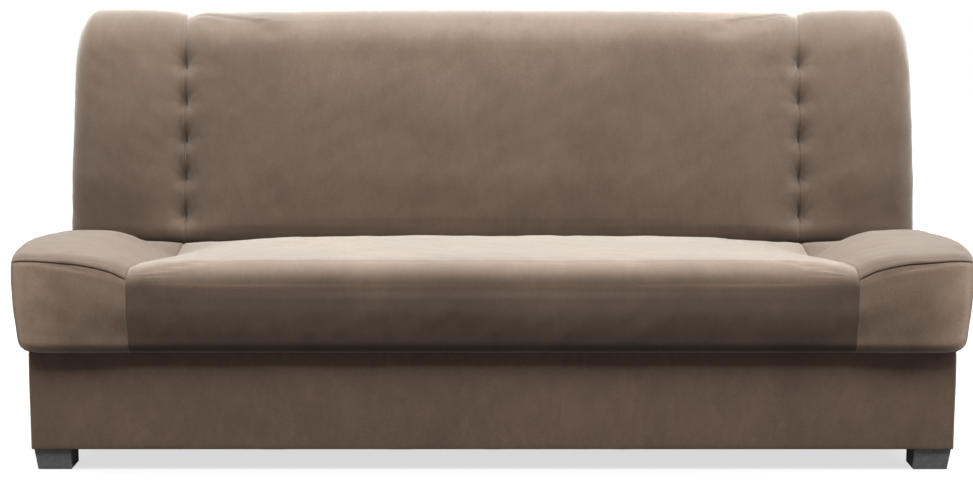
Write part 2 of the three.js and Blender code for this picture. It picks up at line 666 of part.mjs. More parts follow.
// Where the padded face is sampled between its two rounded ends, as shares of its length: evenly on the
// seat, and round each tuft on the back
const seatShares = Array.from({ length: seatFaceStations }, (_, i) => (i + 1) / (seatFaceStations + 1));
const backFaceStart = hingeToPanel + hingeEndRadius;
const backShares = Array.from({ length: tuftCount }, (_, i) =>
  tuftStationShares.map((share) => tuftFirst + (i + share) * tuftPitch)).flat()
  .map((a) => (a - backFaceStart) / (backReach - backCorner.a - backFaceStart))
  .filter((share) => share > fitGap / backReach && share < 1 - fitGap / backReach);

// Each form gives, at a share u of its width, the padded face's height over the face's edge, the place of
// the far end, and the rounding there
const forms = {
  seatCentre: {
    panel: panels.seat, nose: seatNose, shares: seatShares,
    face: (u, a, d) => seatLevel(a) + seatCrownAt(a) * (1 - u ** 4) - seamHollow(a, d) - seatDip(a, d),
    reach: () => seatReach,
    corner: (u) => blendCorners(seatCorner, seatSeamCorner, u ** 4),
  },
  seatWing: {
    panel: panels.seat, nose: seatNose, shares: seatShares,
    face: (u, a, d) => seatLevel(a) + wingDome(u, seatWingRise - seatLevel(a), seatWingFall) * riseAt(a)
      - seamHollow(a, d) - seatDip(a, d),
    reach: () => seatReach,
    corner: (u) => blendCorners(seatSeamCorner, seatWingCorner, smooth(u)),
  },
  backCentre: {
    panel: panels.back, nose: backNose, shares: backShares,
    face: (u, a, d) => backCrown * riseAt(a) * (1 - u ** 4) - seamHollow(a, d)
      - tuft.depth * hump(d, tuft.width) * tuftAt(a),
    reach: (u, d) => backReach + backTopCrown * (1 - u * u) - backTopDip * hump(d, backTopDipWidth),
    corner: () => backCorner,
  },
  backWing: {
    panel: panels.back, nose: backNose, shares: backShares,
    face: (u, a, d) => wingDome(u, backWingRise, backWingFall) * riseAt(a) - seamHollow(a, d)
      - tuft.depth * hump(d, tuft.width) * tuftAt(a),
    reach: (u, d) => {
      const past = Math.max(0, backOutlineRadius - (1 - u) * backWingWidth.far);
      return backReach + backTopCrown / 2 - backTopDip * hump(d, backTopDipWidth)
        - (backOutlineRadius - Math.sqrt(backOutlineRadius ** 2 - past ** 2));
    },
    corner: () => backCorner,
  },
};

// One ring of a pad: its side profile as [a, t] points. The inset runs from 0 to 1 as a bolster's outer side
// rounds over.
function padProfile(form, u, d, inset) {
  const { round } = form.panel;
  const near = hingeToPanel + round.hinge * inset;
  const far = form.reach(u, d) - round.end * inset;
  const low = underside + round.bottom * inset;
  const corner = form.corner(u);
  const faceAt = (a) => hingeDepth + form.face(u, a, d) - round.top * inset;
  const faceEnd = far - corner.a;
  const points = [[near, low]];
  for (let i = 0; i <= arcSteps; i++) {
    const angle = Math.PI / 2 * i / arcSteps;
    const a = near + hingeEndRadius * (1 - Math.cos(angle));
    points.push([a, faceAt(a) - hingeEndRadius * (1 - Math.sin(angle))]);
  }
  for (const share of form.shares) {
    const a = THREE.MathUtils.lerp(near + hingeEndRadius, faceEnd, share);
    points.push([a, faceAt(a)]);
  }
  for (let i = 0; i <= arcSteps; i++) {
    const angle = Math.PI / 2 * i / arcSteps;
    const run = faceEnd + corner.a * Math.sin(angle);
    const sink = 1 - Math.cos(angle);
    points.push([run - form.nose.bulge * sink, faceAt(run) - corner.t * sink]);
  }
  const cornerLow = points.at(-1)[1];
  points.push([far, THREE.MathUtils.lerp(low, cornerLow, noseShare)]);
  points.push([far - form.nose.tuck, low + form.nose.lip]);
  points.push([far - form.nose.tuck - form.nose.lip, low]);
  return points;
}

const drawAt = (t) => sideDraw * (1 - THREE.MathUtils.clamp((t - underside) / panelThickness, 0, 1)) ** 2;

function padSolid(form, side) {
  const { panel } = form;
  const seamNear = seamAt(panel, 0);
  const stations = [];
  if (side === 0) {
    const distances = centreSeamDistances.map((d) => [1 - d / seamNear, d]);
    stations.push(...distances.map(([u, d]) => [-u, d, 0]), [0, seamNear, 0], ...distances.reverse()
      .map(([u, d]) => [u, d, 0]));
  } else {
    const width = panel.halfWidth - seamNear;
    const roundFrom = 1 - panel.round.x / width;
    stations.push(...wingShares.map((share) => [share * roundFrom, share * roundFrom * width, 0]));
    for (let i = 0; i <= sideSteps; i++) {
      const angle = Math.PI / 2 * i / sideSteps;
      const u = roundFrom + (1 - roundFrom) * Math.sin(angle);
      stations.push([u, u * width, 1 - Math.cos(angle)]);
    }
  }
  const flats = stations.map(([u, d, inset]) => padProfile(form, u, d, inset));
  const rings = flats.map((flat, i) => flat.map(([a, t]) => {
    const [u] = stations[i];
    const seam = seamAt(panel, a);
    const inner = seam + seamGap / 2;
    const outer = panel.halfWidth - drawAt(t);
    const x = side === 0 ? u * (seam - seamGap / 2) : side * (inner + u * (outer - inner));
    return [x, panel.turn * a, t];
  }));
  return skin(rings, [flats[0], flats.at(-1)]);
}

// The room inside the padding for the frame, and at each side a slot for the hinge plates
function padRoom(panel) {
  const frameOuter = panel.armX + plateThickness + fitGap * 2 + railThickness;
  const roomTop = feltTop + fitGap;
  const slotFar = eyeRadius + (armKnee - eyeRadius) * roomTop / armHigh + pawlClearance * 2;
  const slotTop = pawlTop + pawlClearance;
  const tools = [panelBlock(panel, [-frameOuter, frameNear - fitGap, underside - cutOver],
    [frameOuter, panel.reach - endWrap + fitGap, roomTop])];
  for (const side of Object.values(sides)) {
    tools.push(panelBlock(panel, [side * (pinInnerX - fitGap), 0, underside - cutOver],
      [side * (pinOuterX + fitGap * 2), slotFar, slotTop]));
  }
  return tools;
}

function addPads() {
  for (const [panelName, panel] of Object.entries(panels)) {
    const room = padRoom(panel);
    const centre = cut(padSolid(forms[`${panelName}Centre`], 0), room);
    addPiece(panel.group, `${panelName}_centre_pad`, centre, 'velour');
    for (const [word, side] of Object.entries(sides)) {
      const wing = cut(padSolid(forms[`${panelName}Wing`], side), room);
      addPiece(panel.group, `${panelName}_wing_${word}`, wing, 'velour');
    }
  }
}

addChestBoards();
addChestCover();
addFeet();
addBrackets();
addArms();
addPawls();
addFrame('seat');
addFrame('back');
addPads();

export default sofa;
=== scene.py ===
import json
import math

import bmesh
import bpy
import numpy as np
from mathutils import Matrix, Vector


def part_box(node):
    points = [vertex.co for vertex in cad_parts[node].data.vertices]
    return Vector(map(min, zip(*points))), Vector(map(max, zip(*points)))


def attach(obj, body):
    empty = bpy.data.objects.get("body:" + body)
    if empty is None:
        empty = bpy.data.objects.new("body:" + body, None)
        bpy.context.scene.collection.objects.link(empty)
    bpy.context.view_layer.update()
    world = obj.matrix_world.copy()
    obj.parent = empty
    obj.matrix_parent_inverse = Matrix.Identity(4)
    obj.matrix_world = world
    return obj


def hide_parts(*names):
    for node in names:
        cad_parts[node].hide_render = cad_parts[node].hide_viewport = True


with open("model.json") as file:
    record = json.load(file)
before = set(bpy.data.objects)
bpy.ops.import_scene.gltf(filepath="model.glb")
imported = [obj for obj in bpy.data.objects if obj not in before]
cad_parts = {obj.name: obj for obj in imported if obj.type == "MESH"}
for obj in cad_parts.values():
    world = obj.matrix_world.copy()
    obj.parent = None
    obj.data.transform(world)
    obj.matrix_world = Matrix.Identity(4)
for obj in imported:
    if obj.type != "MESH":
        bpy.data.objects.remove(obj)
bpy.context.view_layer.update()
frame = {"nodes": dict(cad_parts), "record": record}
nodes = frame["nodes"]
scene = bpy.context.scene
scene.view_settings.view_transform = "Standard"
print("model loaded:", len(nodes), "nodes")


# ---- camera, lights, floor ----
studio = {
    "cameraPlace": (0.0, -4.311, 0.974), "cameraPitch": 7.62, "focal": 1972 / 973 * 36, "shiftX": -0.0062,
    "overhead": {"place": (0, 0.9, 3.3), "aim": (0, -0.1, 0.4), "size": (4.4, 1.6), "power": 275},
    "key": {"place": (0, -1.5, 3.1), "aim": (0, 0, 0.4), "size": (4.4, 1.2), "power": 136},
    "left": {"place": (-3.4, -0.3, 1.8), "aim": (0, 0, 0.5), "size": (1.6, 1.6), "power": 46},
    "right": {"place": (3.4, -0.3, 1.8), "aim": (0, 0, 0.5), "size": (1.6, 1.6), "power": 92},
    "rear": {"place": (0, 3.4, 1.8), "aim": (0, 0, 0.4), "size": (3.5, 1.6), "power": 60},
    "ambient": 0.07, "floorSide": 26, "floorBounce": 0.05, "floorSeen": 0.24, "floorLift": (0.68, 1.0),
    "floorReach": (1.2, 4.5),
}


def addCamera(s):
    data = bpy.data.cameras.new("photoCamera")
    data.lens = s["focal"]
    data.sensor_width = 36
    data.shift_x = s["shiftX"]
    camera = bpy.data.objects.new("photoCamera", data)
    camera.location = s["cameraPlace"]
    camera.rotation_euler = (math.radians(90 - s["cameraPitch"]), 0, 0)
    scene.collection.objects.link(camera)
    scene.camera = camera


def addSoftbox(name, s):
    data = bpy.data.lights.new(name, "AREA")
    data.shape = "RECTANGLE"
    data.size, data.size_y = s["size"]
    data.energy = s["power"]
    lamp = bpy.data.objects.new(name, data)
    lamp.location = s["place"]
    direction = Vector(s["aim"]) - Vector(s["place"])
    lamp.rotation_euler = direction.to_track_quat("-Z", "Y").to_euler()
    scene.collection.objects.link(lamp)


# White where the camera, a gloss or a glass ray sees it, and a dimmer grey as light on the object
def addSurround(s):
    world = bpy.data.worlds.new("studioWorld")
    scene.world = world
    world.use_nodes = True
    tree = world.node_tree
    tree.nodes.clear()
    path = tree.nodes.new("ShaderNodeLightPath")
    either = tree.nodes.new("ShaderNodeMath")
    either.operation = "MAXIMUM"
    seen = tree.nodes.new("ShaderNodeMath")
    seen.operation = "MAXIMUM"
    ambient = tree.nodes.new("ShaderNodeBackground")
    ambient.inputs["Color"].default_value = (1, 1, 1, 1)
    ambient.inputs["Strength"].default_value = s["ambient"]
    white = tree.nodes.new("ShaderNodeBackground")
    white.inputs["Color"].default_value = (1, 1, 1, 1)
    white.inputs["Strength"].default_value = 1
    mix = tree.nodes.new("ShaderNodeMixShader")
    out = tree.nodes.new("ShaderNodeOutputWorld")
    tree.links.new(path.outputs["Is Camera Ray"], either.inputs[0])
    tree.links.new(path.outputs["Is Glossy Ray"], either.inputs[1])
    tree.links.new(either.outputs[0], seen.inputs[0])
    tree.links.new(path.outputs["Is Transmission Ray"], seen.inputs[1])
    tree.links.new(seen.outputs[0], mix.inputs["Fac"])
    tree.links.new(ambient.outputs[0], mix.inputs[1])
    tree.links.new(white.outputs[0], mix.inputs[2])
    tree.links.new(mix.outputs[0], out.inputs["Surface"])


def addFloor(s):
    half = s["floorSide"] / 2
    mesh = bpy.data.meshes.new("studioFloor")
    mesh.from_pydata([(-half, -half, 0), (half, -half, 0), (half, half, 0), (-half, half, 0)], [], [(0, 1, 2, 3)])
    floor = bpy.data.objects.new("studioFloor", mesh)
    scene.collection.objects.link(floor)
    material = bpy.data.materials.new("studioFloor")
    material.use_nodes = True
    tree = material.node_tree
    shader = tree.nodes["Principled BSDF"]
    shader.inputs["Roughness"].default_value = 0.9
    path = tree.nodes.new("ShaderNodeLightPath")
    grey = tree.nodes.new("ShaderNodeMapRange")
    grey.inputs["To Min"].default_value = s["floorBounce"]
    grey.inputs["To Max"].default_value = s["floorSeen"]
    tree.links.new(path.outputs["Is Camera Ray"], grey.inputs["Value"])
    tree.links.new(grey.outputs[0], shader.inputs["Base Color"])
    lift = tree.nodes.new("ShaderNodeEmission")
    lift.inputs["Color"].default_value = (1, 1, 1, 1)
    place = tree.nodes.new("ShaderNodeTexCoord")
    distance = tree.nodes.new("ShaderNodeVectorMath")
    distance.operation = "LENGTH"
    tree.links.new(place.outputs["Object"], distance.inputs[0])
    rise = tree.nodes.new("ShaderNodeMapRange")
    tree.links.new(distance.outputs["Value"], rise.inputs["Value"])
    for socket, value in zip(("From Min", "From Max", "To Min", "To Max"), (*s["floorReach"], *s["floorLift"])):
        rise.inputs[socket].default_value = value
    scaled = tree.nodes.new("ShaderNodeMath")
    scaled.operation = "MULTIPLY"
    tree.links.new(rise.outputs[0], scaled.inputs[1])
    both = tree.nodes.new("ShaderNodeAddShader")
    tree.links.new(path.outputs["Is Camera Ray"], scaled.inputs[0])
    tree.links.new(scaled.outputs[0], lift.inputs["Strength"])
    tree.links.new(shader.outputs[0], both.inputs[0])
    tree.links.new(lift.outputs[0], both.inputs[1])
    side = tree.nodes.new("ShaderNodeNewGeometry")
    clear = tree.nodes.new("ShaderNodeBsdfTransparent")
    shown = tree.nodes.new("ShaderNodeMixShader")
    tree.links.new(side.outputs["Backfacing"], shown.inputs["Fac"])
    tree.links.new(both.outputs[0], shown.inputs[1])
    tree.links.new(clear.outputs[0], shown.inputs[2])
    tree.links.new(shown.outputs[0], tree.nodes["Material Output"].inputs["Surface"])
    mesh.materials.append(material)


addCamera(studio)
for lampName in ("overhead", "key", "left", "right", "rear"):
    addSoftbox(lampName, studio[lampName])
addSurround(studio)
addFloor(studio)
print("studio ready")


# ---- materials: every finish is made of nodes on Object coordinates ----
class Finish:
    def __init__(self, name, colour, roughness, metallic=0.0, specular=0.5):
        self.material = bpy.data.materials.new(name)
        self.material.use_nodes = True
        self.tree = self.material.node_tree
        self.shader = self.tree.nodes["Principled BSDF"]
        self.shader.inputs["Base Color"].default_value = (*colour, 1)
        self.shader.inputs["Roughness"].default_value = roughness
        self.shader.inputs["Metallic"].default_value = metallic
        self.shader.inputs["Specular IOR Level"].default_value = specular
        self.material.diffuse_color = (*colour, 1)
        self.place = self.add("ShaderNodeTexCoord").outputs["Object"]
        self.height = None

    def add(self, kind, links=(), **values):
        node = self.tree.nodes.new(kind)
        for key, value in values.items():
            if hasattr(node, key):
                setattr(node, key, value)
            else:
                node.inputs[key.replace("_", " ")].default_value = value
        for socket, source in dict(links).items():
            self.tree.links.new(source, node.inputs[socket])
        return node

    # The Object coordinates, turned and stretched
    def stretched(self, scale, turn=(0, 0, 0)):
        node = self.add("ShaderNodeMapping", {"Vector": self.place})
        node.inputs["Scale"].default_value = scale
        node.inputs["Rotation"].default_value = turn
        return node.outputs[0]

    def noise(self, scale, detail=3, roughness=0.55, distortion=0.0, place=None):
        node = self.add("ShaderNodeTexNoise", {"Vector": place or self.place})
        node.inputs["Scale"].default_value = scale
        node.inputs["Detail"].default_value = detail
        node.inputs["Roughness"].default_value = roughness
        node.inputs["Distortion"].default_value = distortion
        return node.outputs[0]

    def ramp(self, source, stops):
        node = self.add("ShaderNodeValToRGB", {0: source})
        while len(node.color_ramp.elements) < len(stops):
            node.color_ramp.elements.new(0.5)
        for element, (where, colour) in zip(node.color_ramp.elements, stops):
            element.position = where
            element.color = (*colour, 1) if len(colour) == 3 else colour
        return node.outputs[0]

    # Blends two colours, or a colour over another, by a factor
    def mixed(self, factor, first, second, mode="MIX"):
        node = self.add("ShaderNodeMix", data_type="RGBA", blend_type=mode)
        for socket, value in ((0, factor), (6, first), (7, second)):
            if isinstance(value, (int, float)):
                node.inputs[socket].default_value = value
            elif isinstance(value, tuple):
                node.inputs[socket].default_value = (*value, 1)
            else:
                self.tree.links.new(value, node.inputs[socket])
        return node.outputs[2]

    def colour(self, source):
        self.tree.links.new(source, self.shader.inputs["Base Color"])

    def rough(self, source, low, high):
        node = self.add("ShaderNodeMapRange", {"Value": source})
        node.inputs["To Min"].default_value = low
        node.inputs["To Max"].default_value = high
        self.tree.links.new(node.outputs[0], self.shader.inputs["Roughness"])

    # Adds relief of a given depth in metres; calls stack up
    def relief(self, source, depth, strength=1.0):
        links = {"Height": source}
        if self.height is not None:
            links["Normal"] = self.height
        node = self.add("ShaderNodeBump", links)
        node.inputs["Distance"].default_value = depth
        node.inputs["Strength"].default_value = strength
        self.height = node.outputs[0]
        self.tree.links.new(self.height, self.shader.inputs["Normal"])


def tone(colour, factor):
    return tuple(min(1.0, c * factor) for c in colour)


# Velour: short pile with brushed patches, a fine grain, and a sheen at grazing angles
velourLook = {
    "pad": {"colour": (0.140, 0.096, 0.069), "sheen": 1.0, "sheenTint": (0.96, 0.965, 0.905)},
    "chest": {"colour": (0.205, 0.138, 0.100), "sheen": 0.3, "sheenTint": (0.9, 0.8, 0.72)},
    "patchScale": 5.5, "strokeScale": 38, "grainScale": 420, "pileScale": 1500,
    "patchTones": (0.88, 1.12), "strokeTones": (0.93, 1.07), "grainTones": (0.86, 1.14),
    "pileDepth": 0.0005, "strokeDepth": 0.0006,
}


def velour(name, s, look, napAndPaintedLight=False):
    f = Finish(name, s["colour"], 0.82, specular=0.22)
    f.shader.inputs["Sheen Weight"].default_value = s["sheen"]
    f.shader.inputs["Sheen Roughness"].default_value = 0.42
    f.shader.inputs["Sheen Tint"].default_value = (*s["sheenTint"], 1)
    patches = f.noise(look["patchScale"], 4, 0.55, 0.4)
    strokes = f.noise(look["strokeScale"], 3, 0.6, 0.8, f.stretched((1, 0.45, 0.45)))
    grain = f.noise(look["grainScale"], 2, 0.7)
    pile = f.noise(look["pileScale"], 1, 0.6)
    layers = ((patches, look["patchTones"]), (strokes, look["strokeTones"]), (grain, look["grainTones"]))
    colour = s["colour"]
    for source, (dark, light) in layers:
        shade = f.ramp(source, [(0.3, (dark,) * 3), (0.7, (light,) * 3)])
        colour = f.mixed(1.0, colour, shade, "MULTIPLY")
    # The pads' colour attribute multiplies the colour by per-cut tones, partly the pile's nap and partly painted light
    # and shade, and scales the sheen weight
    if napAndPaintedLight:
        laid = f.add("ShaderNodeAttribute", attribute_name="napAndPaintedLight")
        parts = f.add("ShaderNodeSeparateColor", {0: laid.outputs["Color"]})
        colour = f.mixed(1.0, colour, parts.outputs[0], "MULTIPLY")
        weight = f.add("ShaderNodeMath", {0: parts.outputs[1]}, operation="MULTIPLY")
        weight.inputs[1].default_value = s["sheen"]
        f.tree.links.new(weight.outputs[0], f.shader.inputs["Sheen Weight"])
    f.colour(colour)
    f.rough(strokes, 0.74, 0.9)
    f.relief(strokes, look["strokeDepth"], 0.5)
    f.relief(pile, look["pileDepth"], 0.6)
    return f.material


# Softwood: growth rings drawn out along the board, pores, and a few darker knots of tone
timberLook = {"pale": (0.62, 0.43, 0.22), "dark": (0.44, 0.27, 0.115), "along": 1.6, "across": 26, "poreScale": 900}


def timber(name, axis, look, turn=(0, 0, 0)):
    f = Finish(name, look["pale"], 0.68)
    scale = [look["across"]] * 3
    scale[axis] = look["along"]
    grainPlace = f.stretched(tuple(scale), turn)
    rings = f.noise(1.0, 4, 0.5, 1.2, grainPlace)
    fineScale = [140.0] * 3
    fineScale[axis] = 5.0
    pores = f.noise(1.0, 2, 0.5, 0, f.stretched(tuple(fineScale), turn))
    colour = f.ramp(rings, [(0.32, look["dark"]), (0.47, look["pale"]), (0.62, tone(look["pale"], 0.92)),
                            (0.7, look["dark"])])
    f.colour(f.mixed(1.0, colour, f.ramp(pores, [(0.35, (0.86,) * 3), (0.65, (1.06,) * 3)]), "MULTIPLY"))
    f.rough(pores, 0.6, 0.78)
    f.relief(pores, 0.0004, 0.5)
    return f.material


# Chipboard: pressed flakes of several sizes, with darker gaps
def chipboard(name):
    f = Finish(name, (0.6, 0.46, 0.28), 0.75)
    flakes = f.add("ShaderNodeTexVoronoi", {"Vector": f.stretched((1, 1, 1.6))}, feature="F1")
    flakes.inputs["Scale"].default_value = 130
    flakes.inputs["Randomness"].default_value = 1
    gaps = f.noise(75, 5, 0.7, 0.5)
    byFlake = f.ramp(flakes.outputs["Color"], [(0.15, (0.50, 0.36, 0.20)), (0.5, (0.62, 0.48, 0.30)),
                                               (0.9, (0.72, 0.59, 0.39))])
    f.colour(f.mixed(1.0, byFlake, f.ramp(gaps, [(0.3, (0.72, 0.70, 0.66)), (0.55, (1.04,) * 3)]), "MULTIPLY"))
    f.rough(gaps, 0.66, 0.85)
    f.relief(flakes.outputs["Distance"], 0.0005, 0.5)
    return f.material


# Hardboard: even brown fibres, a little cloudy
def hardboard(name):
    f = Finish(name, (0.22, 0.12, 0.06), 0.55)
    clouds = f.noise(9, 4, 0.6, 0.5)
    fibres = f.noise(520, 3, 0.7)
    colour = f.ramp(clouds, [(0.3, (0.17, 0.09, 0.045)), (0.7, (0.27, 0.155, 0.08))])
    f.colour(f.mixed(1.0, colour, f.ramp(fibres, [(0.3, (0.8,) * 3), (0.7, (1.15,) * 3)]), "MULTIPLY"))
    f.rough(fibres, 0.45, 0.68)
    f.relief(fibres, 0.0002, 0.5)
    return f.material


# Moulded plastic: a fine leathery grain, and scuffs near the floor
def mouldedPlastic(name):
    colour = (0.235, 0.237, 0.243)
    f = Finish(name, colour, 0.5)
    grain = f.noise(900, 2, 0.6)
    scuffs = f.noise(60, 5, 0.7, 1.5)
    f.colour(f.mixed(1.0, colour, f.ramp(scuffs, [(0.45, (0.94,) * 3), (0.68, (1.35,) * 3)]), "MULTIPLY"))
    f.rough(scuffs, 0.42, 0.62)
    f.relief(grain, 0.0003, 0.5)
    return f.material


# Painted steel: slight orange peel, with rubbed marks where the paint has thinned
def paintedSteel(name):
    colour = (0.042, 0.045, 0.048)
    f = Finish(name, colour, 0.42)
    peel = f.noise(260, 2, 0.5)
    rub = f.noise(34, 6, 0.75, 1.2)
    f.colour(f.mixed(f.ramp(rub, [(0.62, (0, 0, 0)), (0.72, (0.7,) * 3)]), colour, (0.2, 0.2, 0.205)))
    f.rough(rub, 0.34, 0.55)
    f.relief(peel, 0.0002, 0.5)
    return f.material


# Zinc plate: cloudy crystals and drawn lines
def zincPlate(name):
    colour = (0.56, 0.57, 0.59)
    f = Finish(name, colour, 0.36, metallic=1)
    clouds = f.noise(160, 4, 0.6, 0.3)
    lines = f.noise(1.0, 2, 0.5, 0, f.stretched((300, 2600, 2600)))
    f.colour(f.mixed(1.0, colour, f.ramp(clouds, [(0.3, (0.78,) * 3), (0.7, (1.1,) * 3)]), "MULTIPLY"))
    f.rough(clouds, 0.26, 0.48)
    f.relief(lines, 0.0001, 0.4)
    return f.material


# Needled felt: mixed fibres of grey with odd coloured ones
def needledFelt(name):
    f = Finish(name, (0.11, 0.115, 0.125), 0.95, specular=0.1)
    fibres = f.noise(340, 5, 0.8, 2.0)
    odd = f.noise(190, 2, 0.5, 3.0)
    colour = f.ramp(fibres, [(0.3, (0.05, 0.052, 0.06)), (0.52, (0.12, 0.125, 0.135)), (0.72, (0.26, 0.26, 0.27))])
    f.colour(f.mixed(f.ramp(odd, [(0.66, (0, 0, 0)), (0.7, (0.6,) * 3)]), colour, (0.16, 0.06, 0.05)))
    f.relief(fibres, 0.001, 0.7)
    return f.material


# Spunbonded cloth: rows of small pressed dots over a web of fibres
def spunbond(name):
    colour = (0.026, 0.026, 0.028)
    f = Finish(name, colour, 0.7, specular=0.3)
    dots = f.add("ShaderNodeTexVoronoi", {"Vector": f.place}, feature="F1")
    dots.inputs["Scale"].default_value = 480
    dots.inputs["Randomness"].default_value = 0.12
    web = f.noise(420, 4, 0.75, 1.5)
    f.colour(f.mixed(1.0, colour, f.ramp(web, [(0.3, (0.6,) * 3), (0.7, (1.5,) * 3)]), "MULTIPLY"))
    f.rough(web, 0.55, 0.85)
    f.relief(dots.outputs["Distance"], 0.0005, 0.6)
    f.relief(web, 0.0003, 0.5)
    return f.material


# Sewing thread: twisted plies
def thread(name):
    colour = (0.23, 0.165, 0.12)
    f = Finish(name, colour, 0.6, specular=0.4)
    twist = f.noise(1400, 2, 0.6)
    f.colour(f.mixed(1.0, colour, f.ramp(twist, [(0.35, (0.75,) * 3), (0.65, (1.2,) * 3)]), "MULTIPLY"))
    f.relief(twist, 0.0002, 0.6)
    return f.material


finishes = {
    "velour": velour("velour", velourLook["pad"], velourLook, napAndPaintedLight=True),
    "chest_velour": velour("chestVelour", velourLook["chest"], velourLook),
    "chipboard": chipboard("chipboard"),
    "hardboard": hardboard("hardboard"),
    "black_plastic": mouldedPlastic("mouldedPlastic"),
    "black_steel": paintedSteel("paintedSteel"),
    "zinc": zincPlate("zincPlate"),
    "felt": needledFelt("needledFelt"),
    "nonwoven": spunbond("spunbond"),
    "thread": thread("thread"),
}
timberAcross = timber("timberAcross", 0, timberLook)
timberForward = timber("timberForward", 1, timberLook)
timberUpright = timber("timberUpright", 2, timberLook)
timberLeaning = timber("timberLeaning", 2, timberLook, (math.radians(-15), 0, 0))


# Rails and blocks take the grain that runs along them
def finishOf(part, slot):
    if slot != "timber":
        return finishes[slot]
    if "corner_block" in part:
        return timberUpright
    if part in ("chest_floor_batten", "seat_rail_left", "seat_rail_right", "seat_crosspiece"):
        return timberForward
    if part in ("back_rail_left", "back_rail_right", "back_crosspiece"):
        return timberLeaning
    return timberAcross


slots = {sub["node"]: sub["material_slot"] for sub in frame["record"]["subparts"]}
for part, slotName in slots.items():
    cadMesh = nodes[part].data
    cadMesh.materials.clear()
    cadMesh.materials.append(finishOf(part, slotName))
print("materials ready:", len(finishes) + 4)


# ---- tools for surfaces ----
def smooth(share):
    s = np.clip(share, 0, 1)
    return s * s * (3 - 2 * s)


def between(pair, share):
    return pair[0] + (pair[1] - pair[0]) * share


def hump(distance, width):
    return np.exp(-((distance / width) ** 2))


# Gentle waves in seeded directions, about 1 high; wave is their mean length
def ripple(p, q, wave, seed, count=9):
    draw = np.random.default_rng(seed)
    total = np.zeros(np.broadcast(p, q).shape)
    for _ in range(count):
        angle, phase, stretch = draw.uniform(0, 2 * math.pi), draw.uniform(0, 2 * math.pi), draw.uniform(0.6, 1.7)
        run = (p * math.cos(angle) + q * math.sin(angle)) * 2 * math.pi * stretch / wave
        total = total + np.sin(run + phase)
    return total / math.sqrt(count)


# Distances from 0 to the end that grow by a factor up to a largest step
def graded(end, first, growth, largest):
    steps = [0.0]
    step = first
    while steps[-1] < end:
        steps.append(steps[-1] + step)
        step = min(step * growth, largest)
    return np.array(steps) * end / steps[-1]


def quadsOf(rows, columns, closed):
    across = np.arange(columns if closed else columns - 1)
    here = (np.arange(rows - 1)[:, None] * columns + across).ravel()
    beside = (np.arange(rows - 1)[:, None] * columns + (across + 1) % columns).ravel()
    return np.stack([here, beside, beside + columns, here + columns], 1)


def newObject(name, points, faces, finish=None, smoothFaces=True):
    mesh = bpy.data.meshes.new(name)
    mesh.from_pydata(np.asarray(points, float).reshape(-1, 3).tolist(), [], [list(map(int, f)) for f in faces])
    if smoothFaces:
        mesh.polygons.foreach_set("use_smooth", np.ones(len(mesh.polygons), bool))
    if finish is not None:
        mesh.materials.append(finish)
    made = bpy.data.objects.new(name, mesh)
    scene.collection.objects.link(made)
    return made


# Merges what coincides and turns every face outwards
def tidied(made, distance=1e-6):
    work = bmesh.new()
    work.from_mesh(made.data)
    bmesh.ops.remove_doubles(work, verts=work.verts, dist=distance)
    bmesh.ops.dissolve_degenerate(work, edges=work.edges, dist=distance)
    bmesh.ops.recalc_face_normals(work, faces=work.faces)
    work.to_mesh(made.data)
    work.free()
    return made


def normalsOf(grid, closed):
    padded = np.concatenate([grid[:, -1:], grid, grid[:, :1]], 1) if closed else grid
    alongColumns = np.gradient(padded, axis=1)
    alongColumns = alongColumns[:, 1:-1] if closed else alongColumns
    normal = np.cross(np.gradient(grid, axis=0), alongColumns)
    return normal / np.maximum(np.linalg.norm(normal, axis=2, keepdims=True), 1e-12)


# ---- padding: each panel's place and the pads' forms ----
pinLow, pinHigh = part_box("hinge_pin_left")
hinge = {"y": (pinLow[1] + pinHigh[1]) / 2 * 1000, "z": (pinLow[2] + pinHigh[2]) / 2 * 1000, "lean": math.radians(15)}
armTop = max(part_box("pawl_left")[1][2] * 1000 - hinge["z"] + 3, -30)

padding = {
    "underside": -138, "thickness": 156, "edge": 18, "near": (6, 7), "hingeRadius": (40, 42.5), "riseFrom": 23,
    "riseRun": 150, "startRun": 80,
    "seamGap": 0.3, "valleyDepth": 6, "valleyWidth": 26, "grooveDepth": 2.6, "grooveWidth": 3.4, "sideDraw": 11,
    "peakShare": 0.5, "roomNear": 35.7, "roomTop": -57.6, "slotFar": 84, "slotFrom": 900.6, "slotTo": 921.4,
}
seatPadding = {
    "reach": 591, "half": 964, "wingNear": 267, "wingFar": 234, "frontRise": 24, "frontRiseRun": 480, "crown": (26, 3),
    "dip": 26, "dipWidth": 90, "dipFrom": 36, "dipRun": 120, "wingRise": 43, "wingFall": 1, "wingBow": 20, "flank": 0.8, "corner": (50, 42), "seamCorner": (50, 38),
    "wingCorner": (30, 16), "bulge": 0, "tuck": (11, 6), "lip": 24,
    "roundX": 60, "roundTop": 14, "roundEnd": 30, "roundHinge": 18, "roundBottom": 12,
    "roomFar": 551.3, "roomSide": 939.5, "faceStep": 7, "ripple": 0.7, "ripples": 190,
}
backPadding = {
    "reach": 563, "half": 967, "wingNear": 266, "wingFar": 257, "crown": 12, "wingRise": 20, "wingFall": 9, "flank": 0,
    "topCrown": 7, "topDip": 6, "topDipWidth": 20, "outline": 64, "corner": (115, 62), "bulge": 0, "tuck": (2, 2), "lip": 12,
    "roundX": 46, "roundTop": 44, "roundEnd": 26, "roundHinge": 18, "roundBottom": 26,
    "roomFar": 523.3, "roomSide": 931.3, "faceStep": 4.5, "ripple": 0.6, "ripples": 170,
    "tuftFirst": 74, "tuftPitch": 88, "tufts": 5, "tuftDepth": 12, "tuftWidth": 24, "tuftAbove": 34, "tuftBelow": 20,
    "pinchDepth": 12, "pinchWidth": 7, "pinchAbove": 22, "pinchBelow": 8, "pucker": 0.7, "puckerRadius": 34,
}
swell = {"pressure": 3, "frames": 20, "cap": 3.5, "stiffness": 90, "rowStep": 3, "columnStep": 3}
